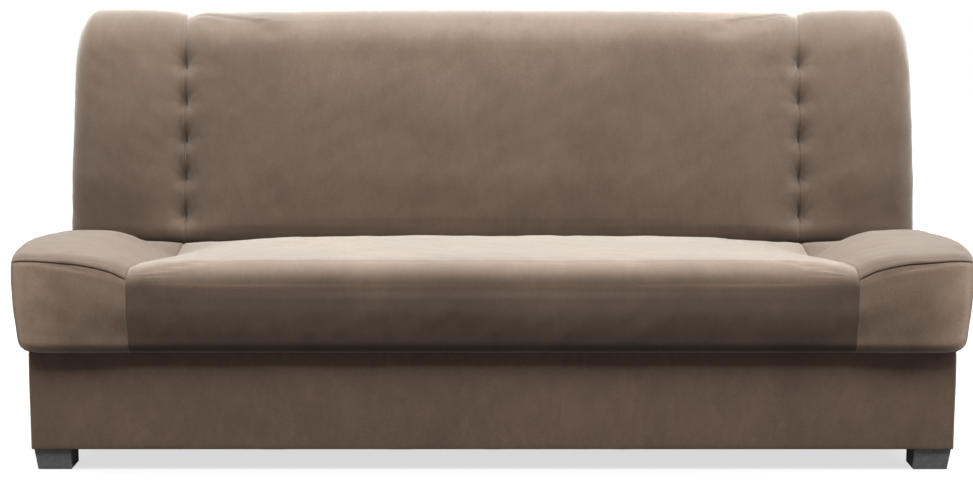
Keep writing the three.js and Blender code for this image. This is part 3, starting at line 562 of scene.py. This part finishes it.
welt = {"angle": 62, "height": 11, "raise": 1.4, "drop": 1.3, "stitchAt": 9}


def placeSeat(x, a, t):
    return np.stack([x, hinge["y"] - a, hinge["z"] + t], -1)


def placeBack(x, a, t):
    turn = math.pi / 2 - hinge["lean"]
    y = hinge["y"] + a * math.cos(turn) - t * math.sin(turn)
    return np.stack([x, y, hinge["z"] + a * math.sin(turn) + t * math.cos(turn)], -1)


def riseAt(a):
    return smooth((a - padding["riseFrom"]) / padding["riseRun"])


# A bolster rises to its peak, on a smooth curve or a rounder one by its flank, and falls off as a square
def wingDome(u, rise, fall, flank):
    past = np.maximum(u - padding["peakShare"], 0) / (1 - padding["peakShare"])
    inner = np.clip(u / padding["peakShare"], 0, 1)
    return rise * between((smooth(inner), 1 - (1 - inner) ** 2), flank) - fall * past**2


def seamAt(s, a):
    return s["half"] - s["wingNear"] - (s["wingFar"] - s["wingNear"]) * a / s["reach"]


# The valley along a seam, with the sewn groove at its bottom; the valley starts a little from the hinge end
def seamDrop(a, d):
    p = padding
    valley = p["valleyDepth"] * hump(d, p["valleyWidth"]) * smooth((a - p["near"][0]) / p["startRun"])
    return valley + p["grooveDepth"] * hump(d, p["grooveWidth"])


# Height of the seat's face: a slow rise to the front and a crown or dome, less the seam and a dip beside it
def seatFace(u, a, d, wing):
    p, s = padding, seatPadding
    level = s["frontRise"] * np.minimum(a / s["frontRiseRun"], 1)
    crown = s["crown"][0] + (s["crown"][1] - s["crown"][0]) * a / s["reach"]
    form = wingDome(u, s["wingRise"] - level, s["wingFall"], s["flank"]) if wing else crown * (1 - u**4)
    if wing:
        form = form + s["wingBow"] * np.sin(math.pi * np.clip(a / s["reach"], 0, 1) ** 2) * u**2
    fade = (1 - smooth(a / s["reach"])) * smooth((a - s["dipFrom"]) / s["dipRun"])
    return level + form * riseAt(a) - seamDrop(a, d) - s["dip"] * hump(d, s["dipWidth"]) * fade


# Height of the back's face: crown or dome, less the seam, less five tufts, each a wide hollow and a tight
# pinch that are longer above than below, with small folds that run out from it
def backFace(u, a, d, wing):
    s = backPadding
    form = wingDome(u, s["wingRise"], s["wingFall"], s["flank"]) if wing else s["crown"] * (1 - u**4)
    height = form * riseAt(a) - seamDrop(a, d)
    for k in range(s["tufts"]):
        run = a - s["tuftFirst"] - k * s["tuftPitch"]
        wide = np.where(run > 0, s["tuftAbove"], s["tuftBelow"])
        tight = np.where(run > 0, s["pinchAbove"], s["pinchBelow"])
        height = height - s["tuftDepth"] * hump(d, s["tuftWidth"]) * hump(run, wide)
        height = height - s["pinchDepth"] * hump(d, s["pinchWidth"]) * hump(run, tight)
        radius = np.hypot(d, run)
        folds = np.cos(7 * np.arctan2(run, d) + k) * smooth(radius / 9)
        height = height + s["pucker"] * folds * hump(radius, s["puckerRadius"])
    return height


def seatReach(u, d, wing):
    return seatPadding["reach"] + 0 * u


def backReach(u, d, wing):
    s = backPadding
    dip = s["topDip"] * hump(d, s["topDipWidth"])
    if not wing:
        return s["reach"] + s["topCrown"] * (1 - u * u) - dip
    past = np.maximum(0, s["outline"] - (1 - u) * s["wingFar"])
    return s["reach"] + s["topCrown"] / 2 - dip - (s["outline"] - np.sqrt(s["outline"] ** 2 - past**2))


def cornerBetween(first, second, share):
    return tuple(p + (q - p) * share for p, q in zip(first, second))


def seatCorner(u, wing):
    s = seatPadding
    if wing:
        return cornerBetween(s["seamCorner"], s["wingCorner"], smooth(u))
    return cornerBetween(s["corner"], s["seamCorner"], u**4)


def backCorner(u, wing):
    return cornerBetween(backPadding["corner"], backPadding["corner"], 0 * u)


panels = {
    "seat": {"sizes": seatPadding, "place": placeSeat, "face": seatFace, "reach": seatReach, "corner": seatCorner},
    "back": {"sizes": backPadding, "place": placeBack, "face": backFace, "reach": backReach, "corner": backCorner},
}


# One closed profile for each ring: hinge end, face, nose, far face, lip, underside with the frame's room,
# and back to the hinge end. u, d and inset are columns; the result has one row for each ring.
def profiles(panel, wing, u, d, inset, room, slot):
    p, s = padding, panel["sizes"]
    apart = smooth(u / 0.3) if wing else 0 * u
    near, radius = between(p["near"], apart) + s["roundHinge"] * inset, between(p["hingeRadius"], apart)
    far = panel["reach"](u, d, wing) - s["roundEnd"] * inset
    low = p["underside"] + s["roundBottom"] * inset
    cornerA, cornerT = panel["corner"](u, wing)

    def faceAt(a):
        return p["edge"] + panel["face"](u, a, d, wing) - s["roundTop"] * inset

    sinStart = np.clip(1 - (faceAt(near) - armTop) / radius, 0, 0.98)
    startAngle = np.where(slot > 0, np.arcsin(sinStart), 0)
    hingeAngle = startAngle + (math.pi / 2 - startAngle) * np.linspace(0, 1, 15)
    aHinge = near + radius * (1 - np.cos(hingeAngle))
    tHinge = faceAt(aHinge) - radius * (1 - np.sin(hingeAngle))
    faceStart, faceEnd = near + radius, far - cornerA
    count = int((s["reach"] - s["corner"][0] - 53) / s["faceStep"])
    aFace = faceStart + (faceEnd - faceStart) * np.linspace(0, 1, count + 2)[1:-1]
    weltAngles = welt["angle"] + np.array([-20, -17, -15, -13.5, -12, -10.5, -9, -7.5, -6, -4.5, -3, -1.5, -0.6,
                                           0, 1.2, 2.6, 4.5, 7])
    noseAngle = np.radians(np.concatenate([np.linspace(0, 36, 9), weltAngles, np.linspace(73, 90, 6)]))
    run = faceEnd + cornerA * np.sin(noseAngle)
    sink = 1 - np.cos(noseAngle)
    aNose = run - s["bulge"] * sink
    tNose = faceAt(run) - cornerT * sink
    share = np.linspace(0, 1, 21)[1:]
    tFront = tNose[:, -1:] + (low + s["lip"] - tNose[:, -1:]) * share
    tuck = between(s["tuck"], smooth(3 * u) if wing else 0 * u)
    aFront = far - s["bulge"] * (1 - smooth(share / 0.4)) - tuck * smooth((share - 0.35) / 0.65)
    lipAngle = np.linspace(0, math.pi / 2, 7)[1:]
    aLip = far - tuck - s["lip"] * (1 - np.cos(lipAngle))
    tLip = low + s["lip"] * (1 - np.sin(lipAngle))
    roomFar = np.minimum(s["roomFar"], aLip[:, -1:] - 2)
    inRoom = np.where(room > 0, p["roomTop"], low)
    inSlot = np.where(slot > 0, armTop, inRoom)
    rim = np.where(slot > 0, armTop, low)
    aUnder = np.concatenate([roomFar, roomFar - 0.2, p["slotFar"] + 0.2 + 0 * u, p["slotFar"] + 0 * u,
                             p["roomNear"] + 0.2 + 0 * u, p["roomNear"] + 0 * u, aHinge[:, :1] + 0.5], 1)
    tUnder = np.concatenate([low, inRoom, inRoom, inSlot, inSlot, rim, rim], 1)
    rise = np.linspace(0, 1, 6)[:-1]
    tEnd = rim + (tHinge[:, :1] - rim) * rise
    aEnd = aHinge[:, :1] + 0 * tEnd
    a = np.concatenate([aHinge, aFace, aNose, aFront, aLip, aUnder, aEnd], 1)
    t = np.concatenate([tHinge, faceAt(aFace), tNose, tFront, tLip, tUnder, tEnd], 1)
    counts = [aHinge.shape[1], aFace.shape[1], aNose.shape[1], aFront.shape[1], aLip.shape[1], 7, 5]
    marks = dict(zip(("hinge", "face", "nose", "front", "lip", "under", "end"), np.cumsum([0, *counts[:-1]])))
    return a, t, marks


# A pad's grid in millimetres: rings run across the sofa, from a seam to the other seam or to the outer side
def padGrid(panel, side):
    p, s = padding, panel["sizes"]
    wing = side != 0
    seamNear = seamAt(s, 0)
    if wing:
        width = s["wingNear"]
        roundFrom = 1 - s["roundX"] / width
        flat = graded(roundFrom * width, 1.1, 1.16, 7) / width
        angle = np.linspace(0, math.pi / 2, 15)[1:]
        edges = [(x - seamNear) / width for x in (p["slotFrom"], p["slotTo"], s["roomSide"])]
        doubled = np.ravel([[e - 0.0006, e + 0.0006] for e in edges])
        u = np.concatenate([flat, roundFrom + (1 - roundFrom) * np.sin(angle)])
        u = np.unique(np.concatenate([u[np.min(np.abs(u[:, None] - doubled), 1) > 0.0012], doubled]))
        inset = 1 - np.sqrt(np.maximum(0, 1 - (np.maximum(u - roundFrom, 0) / (1 - roundFrom)) ** 2))
        d = u * width
        slot = (u > edges[0]) & (u < edges[1])
        room = u < edges[2]
    else:
        d = graded(seamNear, 1.1, 1.13, 11)
        half = 1 - d / seamNear
        u = np.concatenate([-half, half[::-1][1:]])
        d = np.concatenate([d, d[::-1][1:]])
        inset, slot, room = 0 * u, 0 * u, 1 + 0 * u
    u, d, inset, slot, room = (v[:, None].astype(float) for v in (u, d, inset, slot, room))
    a, t, marks = profiles(panel, wing, u, d, inset, room, slot)
    seam = seamAt(s, a)
    if wing:
        draw = p["sideDraw"] * (1 - np.clip((t - p["underside"]) / p["thickness"], 0, 1)) ** 2
        x = seam + p["seamGap"] + u * (s["half"] - draw - seam - p["seamGap"])
        columns = np.arange(a.shape[1])
        hidden = (columns >= marks["under"]) & (columns < marks["end"])
        inner = x[0:1, :] + 0 * x
        outer = x[-1:, :] + 0 * x
        knots = [0, *edges, 1]
        for k in range(4):
            here = (u >= knots[k]) & (u <= knots[k + 1]) & hidden
            ends = [inner, p["slotFrom"] + 0 * x, p["slotTo"] + 0 * x, s["roomSide"] + 0 * x, outer]
            share = (u - knots[k]) / (knots[k + 1] - knots[k])
            x = np.where(here, ends[k] + (ends[k + 1] - ends[k]) * share, x)
        x = side * x
    else:
        x = u * (seam - p["seamGap"])
    return x, a, t, marks, {"u": u, "d": d, "inset": inset}


# Closes a bolster's outer side with rings that shrink towards its middle line
def sideCap(x, a, t, side):
    share = np.linspace(0, 1, 15)[1:, None]
    middleA = np.clip(a[-1], a[-1].min() + 78, a[-1].max() - 78)
    middleT = (t[-1].min() + t[-1].max()) / 2
    capA = a[-1] + (middleA - a[-1]) * share
    capT = t[-1] + (middleT - t[-1]) * share
    capX = x[-1] + side * 2.5 * smooth(share) + (np.abs(x[-1]).max() * side - x[-1]) * smooth(share)
    return np.concatenate([x, capX]), np.concatenate([a, capA]), np.concatenate([t, capT])


def interpolated(values, rows, columns, rowCount, columnCount, closed):
    if closed:
        columns = np.append(columns, columnCount)
        values = np.concatenate([values, values[:, :1]], 1)
    fineRows, fineColumns = np.arange(rowCount), np.arange(columnCount)
    r = np.clip(np.searchsorted(rows, fineRows, "right") - 1, 0, len(rows) - 2)
    c = np.clip(np.searchsorted(columns, fineColumns, "right") - 1, 0, len(columns) - 2)
    rs = ((fineRows - rows[r]) / (rows[r + 1] - rows[r]))[:, None, None]
    cs = ((fineColumns - columns[c]) / (columns[c + 1] - columns[c]))[None, :, None]
    first = values[r][:, c] * (1 - cs) + values[r][:, c + 1] * cs
    second = values[r + 1][:, c] * (1 - cs) + values[r + 1][:, c + 1] * cs
    return first * (1 - rs) + second * rs


# Inflates a coarser copy of the pad as cloth under pressure and carries what it moved back to the fine grid
def swollen(name, grid, free, s):
    rows = np.unique(np.append(np.arange(0, grid.shape[0], s["rowStep"]), grid.shape[0] - 1))
    columns = np.arange(0, grid.shape[1], s["columnStep"])
    coarse = grid[rows][:, columns]
    faces = quadsOf(len(rows), len(columns), True).tolist()
    faces.append(list(range(len(columns)))[::-1])
    faces.append([(len(rows) - 1) * len(columns) + k for k in range(len(columns))])
    cloth = newObject(name + "Cloth", coarse, faces)
    bpy.context.view_layer.objects.active = cloth
    work = bmesh.new()
    work.from_mesh(cloth.data)
    bmesh.ops.recalc_face_normals(work, faces=work.faces)
    work.to_mesh(cloth.data)
    work.free()
    held = cloth.vertex_groups.new(name="held")
    weights = np.round((1 - free[rows][:, columns]).ravel(), 2)
    for weight in np.unique(weights):
        held.add(np.nonzero(weights == weight)[0].tolist(), float(weight), "REPLACE")
    modifier = cloth.modifiers.new("Cloth", "CLOTH")
    c = modifier.settings
    c.quality = 5
    c.mass = 0.25
    c.tension_stiffness = c.compression_stiffness = s["stiffness"]
    c.shear_stiffness = s["stiffness"] / 2
    c.bending_stiffness = 0.6
    c.use_pressure = True
    c.uniform_pressure_force = s["pressure"]
    c.effector_weights.gravity = 0
    c.vertex_group_mass = "held"
    modifier.point_cache.frame_start, modifier.point_cache.frame_end = 1, s["frames"]
    for number in range(1, s["frames"] + 1):
        scene.frame_set(number)
    shown = cloth.evaluated_get(bpy.context.evaluated_depsgraph_get()).to_mesh()
    moved = np.empty(len(shown.vertices) * 3)
    shown.vertices.foreach_get("co", moved)
    shift = moved.reshape(coarse.shape) - coarse
    bpy.data.objects.remove(cloth)
    scene.frame_set(1)
    length = np.linalg.norm(shift, axis=2, keepdims=True)
    cap = s["cap"] / 1000
    shift = shift * cap * np.tanh(length / cap) / np.maximum(length, 1e-9)
    print("  ", name, "cloth moved by up to", round(float(length.max() * 1000), 1), "mm, mostly",
          round(float(np.median(length[length > 0.0003]) * 1000), 1), "mm")
    return interpolated(shift, rows, columns, grid.shape[0], grid.shape[1], True) * free[:, :, None]


def blurred(values, times):
    for _ in range(times):
        values = (values + np.roll(values, 1, 1) + np.roll(values, -1, 1)) / 3
        middle = (values[:-2] + values[1:-1] + values[2:]) / 3
        values = np.concatenate([values[:1], middle, values[-1:]])
    return values


# The pile lies another way on each cut of cloth, which shows as another tone and another strength of sheen. These tones
# are also painted light and shade: darker at the foot of the seat's fronts and just under the welt, lighter towards a
# bolster's outer front, and darker low on the back and lighter towards its top
napAndPaintedLight = {
    "topTone": 0.95, "topSheen": 0.82, "turn": (548, 592), "frontPaintedLightAndShade": (1.2, 0.94), "frontPaintedRun": (-72, -22), "frontSheen": 0.55, "footPaintedShade": 0.45,
    "footPaintedShadeRun": (-128, -74),
    "wingTone": 0.68, "wingSheen": 0.36, "wingFrontTone": 1.95, "wingFrontSheen": 0.7, "wingFootTone": 0.85, "underWeltPaintedShade": 0.6,
    "rimPaintedLight": 0.65, "rimFrom": 0.5, "rimRun": 0.38, "sideTone": 1.0, "sideSheen": 0.3,
    "backPaintedShadeToLight": (0.77, 1.05), "backSheen": (0.6, 1.0), "backPaintedLightRun": (230, 470),
    "crestRun": (490, 555), "crestTone": 0.78, "crestSheen": 1.45,
    "waves": 0.04,
}


# A bolster's tone changes at its welt, with painted shade just under the welt and painted light towards its outer
# front; the middle pad's changes gently as it rolls over the front, with painted light and shade down that front; both
# fronts get painted shade at their foot, and the back gets painted shade low down and painted light towards its top
def napAndPaintedLightOf(panelName, wing, a, t, x, marks, ring):
    if panelName == "back":
        # Painted shade low on the back and painted light towards its top; at the crest the tone drops a little while
        # the sheen weight rises, shaping the highlight there
        up = smooth((a - napAndPaintedLight["backPaintedLightRun"][0]) / (napAndPaintedLight["backPaintedLightRun"][1] - napAndPaintedLight["backPaintedLightRun"][0]))
        crest = smooth((a - napAndPaintedLight["crestRun"][0]) / (napAndPaintedLight["crestRun"][1] - napAndPaintedLight["crestRun"][0]))
        tone = between(napAndPaintedLight["backPaintedShadeToLight"], up) * between((1, napAndPaintedLight["crestTone"]), crest)
        sheen = between(napAndPaintedLight["backSheen"], up) * between((1, napAndPaintedLight["crestSheen"]), crest)
    else:
        # Painted shade: the seat's fronts get darker towards their foot, fading out higher up
        footShadeFade = smooth((t - napAndPaintedLight["footPaintedShadeRun"][0]) / (napAndPaintedLight["footPaintedShadeRun"][1] - napAndPaintedLight["footPaintedShadeRun"][0]))
        if wing:
            columns = np.arange(a.shape[1])
            turned = smooth((columns - marks["nose"] - 22) / 3) + 0 * a
            past = np.ones(len(a) - len(ring["u"]))
            u, inset = (np.append(ring[key][:, 0], past)[:, None] for key in ("u", "inset"))
            # Painted light: the bolster's front gets lighter towards its outer end
            rim = smooth((u - napAndPaintedLight["rimFrom"]) / napAndPaintedLight["rimRun"]) * (1 - smooth((inset - 0.25) / 0.5))
            # Painted shade just under the welt, fading out further down the bolster's front
            weltShadeFade = smooth((columns - marks["nose"] - 24) / 12)
            front = napAndPaintedLight["wingFrontTone"] * (1 + napAndPaintedLight["rimPaintedLight"] * rim) * between((napAndPaintedLight["underWeltPaintedShade"], 1), weltShadeFade)
            tones = napAndPaintedLight["wingTone"], front * between((napAndPaintedLight["wingFootTone"], 1), footShadeFade)
            sheens = napAndPaintedLight["wingSheen"], napAndPaintedLight["wingFrontSheen"]
            aside = smooth((inset - 0.3) / 0.5)
        else:
            turned = smooth((a - napAndPaintedLight["turn"][0]) / (napAndPaintedLight["turn"][1] - napAndPaintedLight["turn"][0]))
            # Painted light and shade down the middle pad's front: lighter in its lower part than just under the roll
            front = between(napAndPaintedLight["frontPaintedLightAndShade"], smooth((t - napAndPaintedLight["frontPaintedRun"][0]) / (napAndPaintedLight["frontPaintedRun"][1] - napAndPaintedLight["frontPaintedRun"][0])))
            tones = napAndPaintedLight["topTone"], front * between((napAndPaintedLight["footPaintedShade"], 1), footShadeFade)
            sheens = napAndPaintedLight["topSheen"], napAndPaintedLight["frontSheen"]
            aside = 0
        tone = between((between(tones, turned), napAndPaintedLight["sideTone"]), aside)
        sheen = between((between(sheens, turned), napAndPaintedLight["sideSheen"]), aside)
    return tone * (1 + napAndPaintedLight["waves"] * ripple(x, a + t, 420, 21 + wing)), sheen + 0 * a


# Stores the per-cut tones (partly nap, partly painted light and shade) and sheen weights as a colour attribute on the
# pad
def paint(made, tone, sheen):
    layer = made.data.color_attributes.new("napAndPaintedLight", "FLOAT_COLOR", "POINT")
    values = np.ones((len(made.data.vertices), 4))
    values[:, 0] = tone.ravel()
    values[:, 1] = sheen.ravel()
    layer.data.foreach_set("color", values.ravel())


stitchPaths = {}


def makePad(name, panelName, side):
    panel = panels[panelName]
    s = panel["sizes"]
    wing = side != 0
    x, a, t, marks, ring = padGrid(panel, side)
    ringCount, columnCount = a.shape
    if wing:
        x, a, t = sideCap(x, a, t, side)
    grid = panel["place"](x, a, t) / 1000
    visible = np.zeros(columnCount)
    visible[marks["hinge"] + 6:marks["lip"]] = 1
    fade = np.concatenate([smooth((ring["d"][:, 0] - 4) / 55), np.ones(len(a) - ringCount)])
    free = blurred(fade[:, None] * visible[None, :], 14)
    free[:, marks["under"]:] = 0
    free[:2] = 0
    free[-2:] = 0
    if panelName == "back":
        for k in range(s["tufts"]):
            reachOut = np.hypot(a - s["tuftFirst"] - k * s["tuftPitch"], np.abs(np.abs(x) - seamAt(s, a)))
            free = free * smooth((reachOut - 12) / 50)
    loose = free[:ringCount] * (1 - smooth((ring["u"] - 0.5) / 0.42) if wing else 1)
    grid[:ringCount] += swollen(name, grid[:ringCount], loose, swell)
    outward = normalsOf(grid, True)
    bodyMiddle = panel["place"](np.array(x.mean()), np.array(s["reach"] / 2), np.array(-60.0)) / 1000
    if np.sum(outward * (grid - bodyMiddle)) < 0:
        outward = -outward
    waves = ripple(x, a + t, s["ripples"], len(name)) + 0.5 * ripple(x, a + t, s["ripples"] / 2.6, len(name) + 9)
    grid = grid + outward * (waves * free * s["ripple"] / 1000)[:, :, None]
    if panelName == "seat" and wing:
        first = marks["nose"] + 9
        steps = np.zeros(columnCount)
        band = np.array([0, .15, .5, .35, .55, .8, .95, 1, 1, 1, 1, 1, .9, .45, -.7, -1, -.85, -.5])
        steps[first:first + len(band)] = np.where(band > 0, band * welt["raise"], -band * -welt["drop"])
        after = smooth(1 - (np.arange(columnCount) - first - len(band)) / 8) * -0.5 * welt["drop"]
        steps[first + len(band):first + len(band) + 9] = after[first + len(band):first + len(band) + 9]
        reachIn = np.concatenate([smooth(ring["d"][:, 0] / 6) * (1 - smooth((ring["inset"][:, 0] - 0.25) / 0.6)),
                                  np.zeros(len(a) - ringCount)])
        grid = grid + outward * (steps[None, :] * reachIn[:, None] / 1000)[:, :, None]
        stitchPaths[name + "_top_stitch"] = (grid, outward, first + 2, "rows", 4, ringCount - 9)
    if wing:
        stitchPaths[name + "_seam_stitch"] = (grid, outward, 4 if panelName == "seat" else 4, "columns",
                                              marks["hinge"] + 12, marks["lip"] - 2)
    faces = quadsOf(len(a), columnCount, True).tolist()
    faces.append(list(range(columnCount))[::-1])
    if not wing:
        faces.append([(len(a) - 1) * columnCount + k for k in range(columnCount)])
    made = newObject(name, grid, faces, finishes["velour"])
    paint(made, *napAndPaintedLightOf(panelName, wing, a, t, x, marks, ring))
    pad = tidied(made, 2e-6)
    pad.data.set_sharp_from_angle(angle=math.radians(60))
    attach(pad, panelName)
    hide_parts(name)
    return pad


for panelName in panels:
    makePad(panelName + "_centre_pad", panelName, 0)
    for word, side in (("left", -1), ("right", 1)):
        makePad(panelName + "_wing_" + word, panelName, side)
    print(panelName, "pads ready")


# ---- stitching: short stitches half sunk in the cloth along a line of a pad's grid ----
stitch = {"length": 0.0042, "pitch": 0.0062, "radius": 0.00055, "sink": 0.0001, "ringPoints": 6, "rings": 5}


def sewn(name, body, path, s):
    grid, outward, index, kind, start, end = path
    line = grid[start:end, index] if kind == "rows" else grid[index, start:end]
    up = outward[start:end, index] if kind == "rows" else outward[index, start:end]
    gaps = np.linalg.norm(np.diff(line, axis=0), axis=1)
    along = np.concatenate([[0], np.cumsum(gaps)])
    places = np.arange(s["pitch"], along[-1] - s["pitch"], s["pitch"])
    middle = np.stack([np.interp(places, along, line[:, k]) for k in range(3)], 1)
    ahead = np.stack([np.interp(places + s["length"] / 2, along, line[:, k]) for k in range(3)], 1)
    behind = np.stack([np.interp(places - s["length"] / 2, along, line[:, k]) for k in range(3)], 1)
    lift = np.stack([np.interp(places, along, up[:, k]) for k in range(3)], 1)
    lift /= np.linalg.norm(lift, axis=1, keepdims=True)
    forward = (ahead - behind) / np.linalg.norm(ahead - behind, axis=1, keepdims=True)
    across = np.cross(forward, lift)
    share = np.linspace(-1, 1, s["rings"])
    thick = s["radius"] * np.sqrt(1 - (share * 0.94) ** 2)
    angle = np.arange(s["ringPoints"]) * 2 * math.pi / s["ringPoints"]
    f = (share * s["length"] / 2)[:, None] + 0 * angle
    n = thick[:, None] * np.cos(angle) - s["sink"] * 3 * (share[:, None] ** 2)
    b = thick[:, None] * np.sin(angle)
    points = (middle[:, None, None] + forward[:, None, None] * f[None, :, :, None]
              + lift[:, None, None] * (n[None, :, :, None] + s["sink"]) + across[:, None, None] * b[None, :, :, None])
    quads = quadsOf(s["rings"], s["ringPoints"], True)
    caps = [list(range(s["ringPoints"]))[::-1],
            [(s["rings"] - 1) * s["ringPoints"] + k for k in range(s["ringPoints"])]]
    size = s["rings"] * s["ringPoints"]
    faces = []
    for k in range(len(places)):
        faces.extend((quads + k * size).tolist())
        faces.extend([[v + k * size for v in cap] for cap in caps])
    made = tidied(newObject(name, points, faces, finishes["thread"]), 1e-7)
    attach(made, body)


for name, path in stitchPaths.items():
    sewn(name, name.split("_")[0], path, stitch)
print("stitching ready:", len(stitchPaths), "lines")


# ---- chest wrap: one strip of velour round the front and sides, with soft corners and a turned hem ----
coverLow, coverHigh = (np.array(corner) * 1000 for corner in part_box("chest_cover"))
wrap = {
    "halfWidth": coverHigh[0], "front": coverLow[1], "rear": coverHigh[1], "low": coverLow[2], "high": coverHigh[2],
    "corner": 5, "thickness": 1.4, "wave": 0.35, "waveLength": 240, "hemWave": 0.5,
    "stretch": 2 * (coverHigh[0] + coverHigh[1] - coverLow[1]),
}


# The strip is a path round the chest times its height; it bows out a hair between its stapled edges
def addChestWrap(s):
    w, r = s["halfWidth"], s["corner"]
    turn = np.linspace(0, math.pi / 2, 9)
    sideY = np.linspace(s["rear"] - 0.3, s["front"] + r, 64)[:-1]
    frontX = np.linspace(-w + r, w - r, 150)[1:-1]
    left = np.stack([np.full_like(sideY, -w), sideY], 1)
    leftTurn = np.stack([-w + r - r * np.cos(turn), s["front"] + r - r * np.sin(turn)], 1)
    front = np.stack([frontX, np.full_like(frontX, s["front"])], 1)
    rightTurn = np.stack([w - r + r * np.sin(turn), s["front"] + r - r * np.cos(turn)], 1)
    right = np.stack([np.full_like(sideY, w), sideY[::-1]], 1)
    path = np.concatenate([left, leftTurn, front, rightTurn, right])
    heading = np.gradient(path, axis=0)
    heading /= np.linalg.norm(heading, axis=1, keepdims=True)
    outward = np.stack([heading[:, 1], -heading[:, 0]], 1)
    along = np.concatenate([[0], np.cumsum(np.linalg.norm(np.diff(path, axis=0), axis=1))])
    share = np.concatenate([[0, 0.004, 0.012, 0.025], np.linspace(0.05, 0.95, 21), [0.975, 0.99, 1]])
    height = s["low"] + (s["high"] - s["low"]) * share
    edge = smooth(share / 0.03) * smooth((1 - share) / 0.02)
    wave = ripple(along[:, None], height[None, :] * 1.6, s["waveLength"], 3) * s["wave"] * edge[None, :]
    bow = -0.9 + 0.5 * np.sin(math.pi * share)[None, :] * edge[None, :] + 0 * wave
    offset = wave + bow + (edge[None, :] - 1) * 0.5
    hem = ripple(along[:, None], 0 * along[:, None], 130, 5) * s["hemWave"] * hump(share, 0.12)[None, :]
    points = np.stack([path[:, None, 0] + outward[:, None, 0] * offset, path[:, None, 1] + outward[:, None, 1] * offset,
                       height[None, :] + hem + 0.5 * (1 - share)[None, :]], -1) / 1000
    made = newObject("chest_wrap", points, quadsOf(len(path), len(share), False), finishes["chest_velour"])
    solid = made.modifiers.new("Solidify", "SOLIDIFY")
    solid.thickness = s["thickness"] / 1000 * 0.5
    solid.offset = -1
    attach(made, "chest")
    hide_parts("chest_cover")


addChestWrap(wrap)
print("chest wrap ready")


# ---- cloths under the panels and felt over the springs: grids that hang or swell a little ----
cloths = {
    "underside_cloth": {"slot": "nonwoven", "sag": 0.9, "thickness": 0.35, "wave": 0.25, "waveLength": 140},
    "felt": {"slot": "felt", "sag": 0.0, "thickness": 3.0, "wave": 0.3, "waveLength": 60},
}


# The cloth is a grid over its CAD sheet's length and width; it sags by sin times sin between its edges
def addCloth(panelName, kind, s):
    name = panelName + "_" + kind
    mesh = nodes[name].data
    corners = np.empty(len(mesh.vertices) * 3)
    mesh.vertices.foreach_get("co", corners)
    corners = corners.reshape(-1, 3) * 1000
    y, z = corners[:, 1] - hinge["y"], corners[:, 2] - hinge["z"]
    if panelName == "seat":
        a, t = -y, z
    else:
        turn = math.pi / 2 - hinge["lean"]
        a, t = y * math.cos(turn) + z * math.sin(turn), -y * math.sin(turn) + z * math.cos(turn)
    x0, x1, a0, a1 = corners[:, 0].min(), corners[:, 0].max(), a.min(), a.max()
    middle = (t.min() + t.max()) / 2
    p, q = np.meshgrid(np.linspace(0, 1, 121), np.linspace(0, 1, 41), indexing="ij")
    hang = np.sin(math.pi * p) * np.sin(math.pi * q)
    wavy = ripple(p * (x1 - x0), q * (a1 - a0), s["waveLength"], 11) * s["wave"] * np.minimum(1, hang * 3)
    height = middle - s["sag"] * hang * 0.4 + wavy
    grid = panels[panelName]["place"](x0 + (x1 - x0) * p, a0 + (a1 - a0) * q, height) / 1000
    made = newObject(name + "_sheet", grid, quadsOf(121, 41, False), finishes[s["slot"]])
    solid = made.modifiers.new("Solidify", "SOLIDIFY")
    solid.thickness = s["thickness"] / 1000
    solid.offset = 0
    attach(made, panelName)
    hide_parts(name)


for panelName in panels:
    for kind, settings in cloths.items():
        addCloth(panelName, kind, settings)
print("cloths ready")


# ---- feet, boards and blocks with softened edges ----
softEdges = {"leg": (0.0022, 3), "chest_front": (0.0006, 2), "chest_rear": (0.0006, 2), "chest_side": (0.0006, 2),
             "corner_block": (0.0015, 2), "chest_floor_batten": (0.0015, 2)}


def soften(part, width, segments):
    mesh = nodes[part].data.copy()
    made = bpy.data.objects.new(part + "_soft", mesh)
    scene.collection.objects.link(made)
    work = bmesh.new()
    work.from_mesh(mesh)
    bmesh.ops.remove_doubles(work, verts=work.verts, dist=1e-6)
    bmesh.ops.dissolve_limit(work, angle_limit=math.radians(1), verts=work.verts, edges=work.edges)
    bmesh.ops.recalc_face_normals(work, faces=work.faces)
    work.to_mesh(mesh)
    work.free()
    bevel = made.modifiers.new("Bevel", "BEVEL")
    bevel.width = width
    bevel.segments = segments
    bevel.limit_method = "ANGLE"
    bevel.angle_limit = math.radians(50)
    mesh.polygons.foreach_set("use_smooth", np.ones(len(mesh.polygons), bool))
    bpy.context.view_layer.objects.active = made
    smoother = made.modifiers.new("Normals", "WEIGHTED_NORMAL")
    smoother.keep_sharp = True
    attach(made, "chest")
    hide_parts(part)


for part in slots:
    for start, (width, segments) in softEdges.items():
        if part.startswith(start) and part not in ("chest_floor", "leg_screw_front_left") and "screw" not in part:
            soften(part, width, segments)
            break
print("edges softened")
